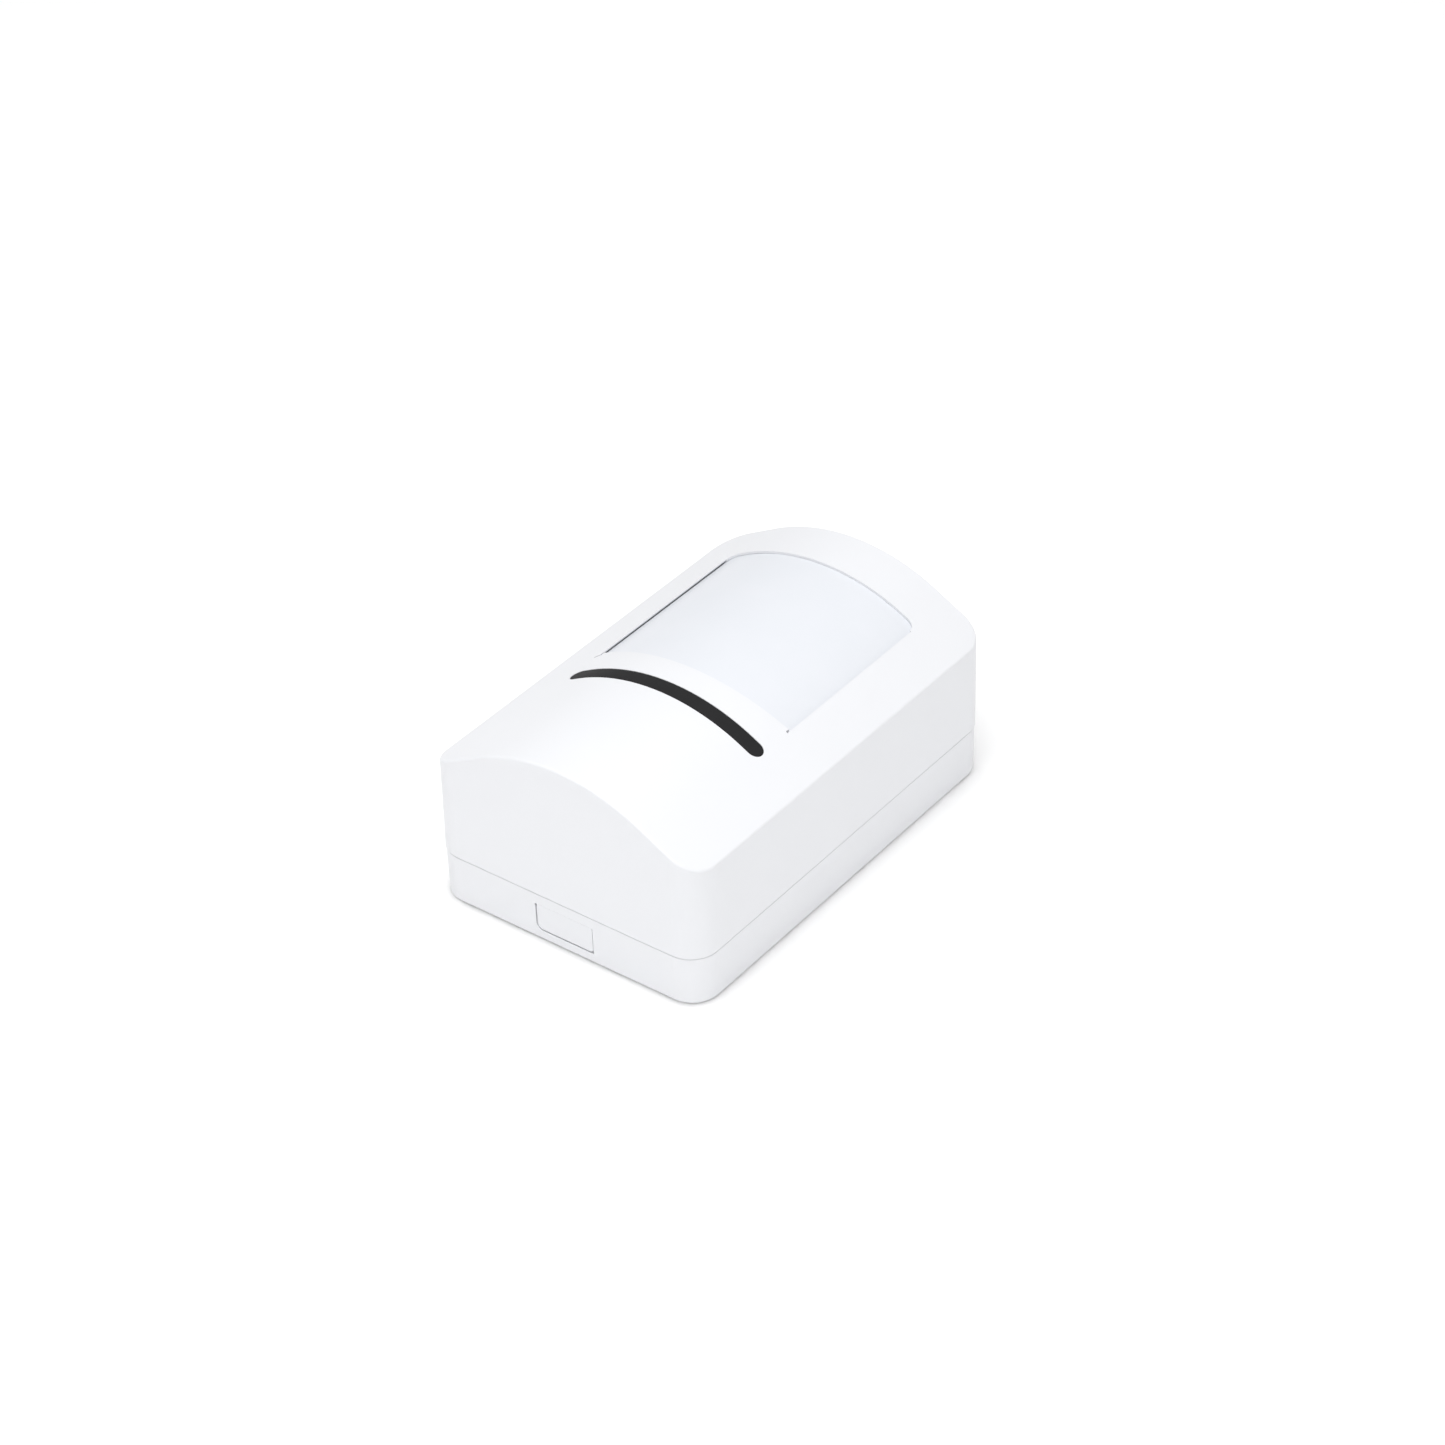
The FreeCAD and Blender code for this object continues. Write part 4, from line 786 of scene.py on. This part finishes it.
makeEnds(ends)


# Switch lid: a thin plate with a round hole for the plunger, held by four riveted pips

switchLid = {"place": (-21.0, -22.0), "half": (2.95, 2.95), "corner": 0.6, "hole": 1.86, "foot": 16.58,
             "thick": 0.17, "edge": 0.04, "pipOut": (2.3, 2.3), "pipRadius": 0.38, "pipHigh": 0.12,
             "pipSunk": 0.05}


def makeSwitchLid(s):
    # Rounded squares outside and circles in the hole, ring after ring round the plate's section
    place, foot, top, edge = s["place"], s["foot"], s["foot"] + s["thick"], s["edge"]
    outside = rectangleRings(place, s["half"], s["corner"], [(0, foot), (0, top - edge), (edge, top)], corner=12)
    hole = [(s["hole"] + edge, top), (s["hole"], top - edge), (s["hole"], foot)]
    plate = ringTube(outside + circleRings(place, hole, corner=12))
    r, high = s["pipRadius"], s["pipHigh"]
    dome = [(r * math.cos(a), top + high * math.sin(a)) for a in np.linspace(0, np.pi / 2, 5)[:-1]]
    profile = [(0, top - s["pipSunk"]), (r, top - s["pipSunk"])] + dome + [(0, top + high)]
    corners = np.array([(-1, -1), (-1, 1), (1, -1), (1, 1)]) * s["pipOut"] + place
    addPiece("switchLid", gather([plate] + [lathe(profile, corner, n=16) for corner in corners]), "zinc_steel",
             "root")


makeSwitchLid(switchLid)


# Copper under the lacquer and through holes. Routes are (x, y) corners, and most turn by 45 degrees.

tracks = {
    "signal": [
        [(-3.175, -8.3), (-3.175, -11.4), (-6, -14.2), (-6, -14.9)],
        [(-0.635, -8.3), (-0.635, -13.6), (0, -14.2), (0, -14.9)],
        [(3.175, -8.3), (3.175, -11.4), (6, -14.2), (6, -14.9)],
        [(-4.445, -8.3), (-4.445, -9.3), (-6.4, -11.3), (-9.6, -11.3)],
        [(4.445, -8.3), (4.445, -9.4), (10.3, -15.3), (10.3, -17.0)], [(14.2, -21.6), (17.6, -21.6)],
        [(12.0, -12.9), (12.0, -11.0), (14.7, -8.3)], [(1.905, -8.3), (1.905, -10.2)],
        [(-1.905, -8.3), (-1.905, -9.7)], [(-4.445, -1.7), (-5.3, -0.9), (-6.6, -0.9), (-6.6, 0)],
        [(4.445, -1.7), (5.3, -0.9), (6.6, -0.9), (6.6, 0)], [(-3.175, -1.7), (-4.4, -0.5), (-4.4, 0)],
        [(3.175, -1.7), (4.4, -0.5), (4.4, 0)], [(-1.905, -1.7), (-2.2, -1.4), (-2.2, 0)],
        [(1.905, -1.7), (2.2, -1.4), (2.2, 0)], [(-0.635, -1.7), (0, -1.1), (0, 0)], [(-2.2, 1.6), (-2.2, 10)],
        [(0, 1.6), (0, 10)], [(2.2, 1.6), (2.2, 10)],
        [(-6.6, 1.6), (-6.6, 2.0), (-8.2, 3.6), (-10.6, 3.6), (-10.6, 4.1)],
        [(-4.4, 1.6), (-4.4, 2.6), (-8.7, 6.9), (-8.7, 11.6), (-9.5, 12.5)],
        [(4.4, 1.6), (4.4, 2.6), (8.7, 6.9), (8.7, 11.6), (9.5, 12.5)], [(6.6, 1.6), (6.6, 2.0), (7.8, 3.2)],
        [(-14.405, 9.9), (-14.405, 10.6), (-16.3, 12.5), (-17.6, 12.5)],
        [(-11.865, 9.9), (-11.865, 11.2), (-11.6, 11.5)], [(-4.4, 27.2), (-4.4, 28.0), (-6.2, 29.8)],
        [(0, 27.2), (0, 28.0), (-1.5, 29.5), (-1.5, 30.5)],
        [(-6.6, 27.2), (-6.6, 27.9), (-8.5, 29.8), (-8.5, 30.5)], [(6.6, 27.2), (7.6, 27.2)],
        [(2.2, 27.2), (2.2, 29.0)], [(-4.4, 25.6), (-4.4, 25.1), (-6.4, 23.1), (-7.6, 23.1), (-9.2, 21.5)],
        [(4.4, 25.6), (4.4, 25.1), (6.4, 23.1), (7.6, 23.1), (9.2, 21.5)], [(-2.2, 25.6), (-2.2, 22)],
        [(0, 25.6), (0, 22)], [(2.2, 25.6), (2.2, 22)], [(-9.6, 15.5), (-6.5, 15.5)],
        [(-9.6, 18.5), (-6.5, 18.5)], [(9.6, 15.5), (6.5, 15.5)], [(9.6, 18.5), (6.5, 18.5)],
        [(-18.6, -12.5), (-16.8, -12.5), (-15.6, -11.3), (-15.6, 1.4), (-13.135, 3.865), (-13.135, 4.1)],
        [(-18.6, -7), (-17.4, -7), (-16.6, -6.2), (-16.6, 1.8), (-14.405, 4.0)],
        [(-18.6, -1.5), (-17.6, -1.5)], [(-12.5, -28.2), (-12.5, -26.2), (-16.5, -22.2), (-18, -22.2)],
        [(-7.5, -28.2), (-7.5, -25), (-14.4, -18.1), (-16.0, -18.1), (-17.5, -16.6), (-17.5, -14.6)],
        [(0, -17.4), (0, -18.7)], [(6, -17.4), (6, -18.7), (-4.2, -18.7)],
        [(2.5, -28.2), (2.5, -23), (8.2, -17.3)], [(12.5, -28.2), (12.5, -26.6), (15.6, -23.5), (17.8, -23.5)],
        [(-11.6, 12.5), (-13.1, 12.5)], [(11.6, 12.5), (13.1, 12.5)]],
    "power": [
        [(-2.5, -28.2), (-2.5, -20.4), (-4.2, -18.7), (-6, -18.7), (-6, -17.4)],
        [(7.5, -28.2), (7.5, -24.4), (14.9, -17), (14.9, -13), (15.6, -12.3), (15.6, -11.3)],
        [(-13.135, 9.9), (-13.135, 24.6), (-14.9, 26.4), (-14.9, 30.5), (-14.0, 30.5)],
        [(13.1, 24.8), (12.3, 25.6), (12.3, 27.6)], [(15.6, 3.3), (15.6, 4.2), (13.1, 6.7), (13.1, 24.8)],
        [(-17.6, 21.5), (-13.1, 21.5)], [(-13.1, 15.5), (-11.8, 15.5)], [(-13.1, 18.5), (-11.8, 18.5)],
        [(-13.1, 21.5), (-11.8, 21.5)], [(17.6, 21.5), (11.8, 21.5)], [(17.6, 12.5), (13.1, 12.5)],
        [(13.1, 15.5), (11.8, 15.5)], [(13.1, 18.5), (11.8, 18.5)], [(-9.7, 30.5), (-7.3, 30.5)],
        [(-2.7, 30.5), (-0.3, 30.5)], [(4.3, 30.5), (7.0, 30.5)],
        [(10, 33.0), (10, 34.6), (-14.6, 34.6), (-18.2, 31.0), (-18.2, 26.6), (-19.6, 25.2), (-19.6, 24.2)]],
    "holes": [
        (8.2, -17.3), (12, -12.9), (10.3, -17.0), (14.2, -21.6), (-17.6, -1.5), (-17.5, -14.6), (1.905, -10.2),
        (-1.905, -9.7), (7.8, 3.2), (-6.2, 29.8), (2.2, 29.0), (-8.3, -2.4), (8.2, -1.6), (-24.8, 5.2),
        (25.4, 7.2), (24.9, 27.6), (-25.2, 27.6), (-24.9, -16.2), (25.4, -13.4), (17.2, 28.4), (-10.2, 36.2),
        (1.5, 36.3), (-19.4, 6.6), (18.4, 6.9), (-5.4, -22.4), (5.4, -26.0), (22.6, 29.6), (-22.4, 4.2)],
    "hole": ((0.42, 0), (0.25, 0.012), (0.2, -0.01), (0, -0.03))}   # radius, height over the copper


def makeTracks(s):
    # A ribbon along each route, and a turned ring with a dimple for each hole
    low, high = board["top"] - board["sink"], board["top"] + board["copper"]
    made = [ribbon(route, board["trackWide"], low, high) for route in s["signal"]]
    made += [ribbon(route, board["powerWide"], low, high) for route in s["power"]]
    addPiece("boardTracks", gather(made), "mask_over_copper", "root")
    profile = [(0, low), (s["hole"][0][0], low)] + raised(s["hole"], high)
    addPiece("platedHoles", gather([lathe(profile, place, n=20) for place in s["holes"]]), "solder_tin", "root")


makeTracks(tracks)


# Printed outlines: boxes as (x, y, half width, half height), circles as (x, y, radius), plus marks and dots

legend = {
    "boxes": [
        (18.5, -4.0, 4.1, 7.9), (0, -32.0, 15.8, 4.35), (-21.0, -22.0, 3.6, 3.6), (21.0, -22.0, 3.8, 3.8),
        (-12.0, -6.5, 2.7, 5.9), (-21.0, -12.5, 2.9, 1.6), (-21.0, -7.0, 2.9, 1.6), (-21.0, -1.5, 2.9, 1.6),
        (-12.0, 30.5, 3.0, 1.7), (-5.0, 30.5, 3.0, 1.7), (2.0, 30.5, 3.0, 1.7), (10.0, 31.0, 3.7, 4.6),
        (0, -16.2, 9.0, 2.1)],
    "circles": [
        (-20.5, 12.5, 3.5), (-20.5, 21.5, 3.5), (20.5, 12.5, 3.5), (20.5, 21.5, 3.5), (0, 16.25, 7.5)],
    "plus": [(-16.4, 10.4), (-16.4, 19.4), (16.4, 10.4), (16.4, 19.4)], "plusHalf": 0.6,
    "dots": [(-5.9, -7.5), (-15.8, 4.6)], "dotRadius": 0.28, "dotEdge": 0.01}


def makeLegend(s):
    # Closed outlines as routes that end where they start; a plus is two short bars
    routes = [[(x + i * a, y + j * b) for i, j in ((0, -1), (1, -1), (1, 1), (-1, 1), (-1, -1), (0, -1))]
              for x, y, a, b in s["boxes"]]
    turn = np.linspace(0, 2 * np.pi, 49)
    routes += [np.stack([x + r * np.cos(turn), y + r * np.sin(turn)], -1) for x, y, r in s["circles"]]
    routes += [[(x - s["plusHalf"], y), (x + s["plusHalf"], y)] for x, y in s["plus"]]
    routes += [[(x, y - s["plusHalf"]), (x, y + s["plusHalf"])] for x, y in s["plus"]]
    low, high, r = board["top"] - board["sink"], board["top"] + board["ink"], s["dotRadius"]
    marks = [ribbon(route, board["inkWide"], low, high) for route in routes]
    dot = [(0, low), (r, low), (r - s["dotEdge"], high), (0, high)]
    marks += [lathe(dot, place, n=20) for place in s["dots"]]
    addPiece("boardLegend", gather(marks), "legend_ink", "root")


makeLegend(legend)
print("board dressed")


# Drawn pieces that only need their edges rounded

softened = {"merge": 0.001, "flat": 1.0, "crease": 50.0,   # mm, degrees, degrees
            "pieces": {   # node, body, edge width in mm
                "terminalHousing": ("terminal_block", "root", 0.18),
                "switchCase": ("tamper_switch", "root", 0.16),
                "trimmerCase": ("range_trimmer", "root", 0.18),
                "trimmerRotor": ("range_trimmer_rotor", "trimmer_rotor", 0.08),
                "headerBases": ("jumper_headers", "root", 0.12),
                "lampJumper": ("led_jumper_cap", "led_jumper", 0.22),
                "pulseJumper": ("pulse_jumper_cap", "pulse_jumper", 0.22),
                "relayJumper": ("relay_jumper_cap", "relay_jumper", 0.22)}}


def softenedCopy(name, node, body, width, s):
    # Copy of a drawn piece: loose triangles merged, flat faces joined up again, edges rounded
    mesh = nodes[node].data.copy()
    mesh.name = name
    work = bmesh.new()
    work.from_mesh(mesh)
    bmesh.ops.remove_doubles(work, verts=work.verts, dist=s["merge"] * mm)
    bmesh.ops.dissolve_limit(work, angle_limit=math.radians(s["flat"]), verts=work.verts, edges=work.edges)
    work.to_mesh(mesh)
    work.free()
    mesh.shade_smooth()
    mesh.set_sharp_from_angle(angle=math.radians(s["crease"]))
    item = bpy.data.objects.new(name, mesh)
    bpy.context.collection.objects.link(item)
    edge = item.modifiers.new("edge", "BEVEL")
    edge.width, edge.segments, edge.limit_method = width * mm, 2, "ANGLE"
    edge.angle_limit, edge.use_clamp_overlap = math.radians(s["crease"]), True
    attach(item, body)
    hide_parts(node)


for pieceName, pieceValues in softened["pieces"].items():
    softenedCopy(pieceName, *pieceValues, softened)
print("edges softened,", len(softened["pieces"]))
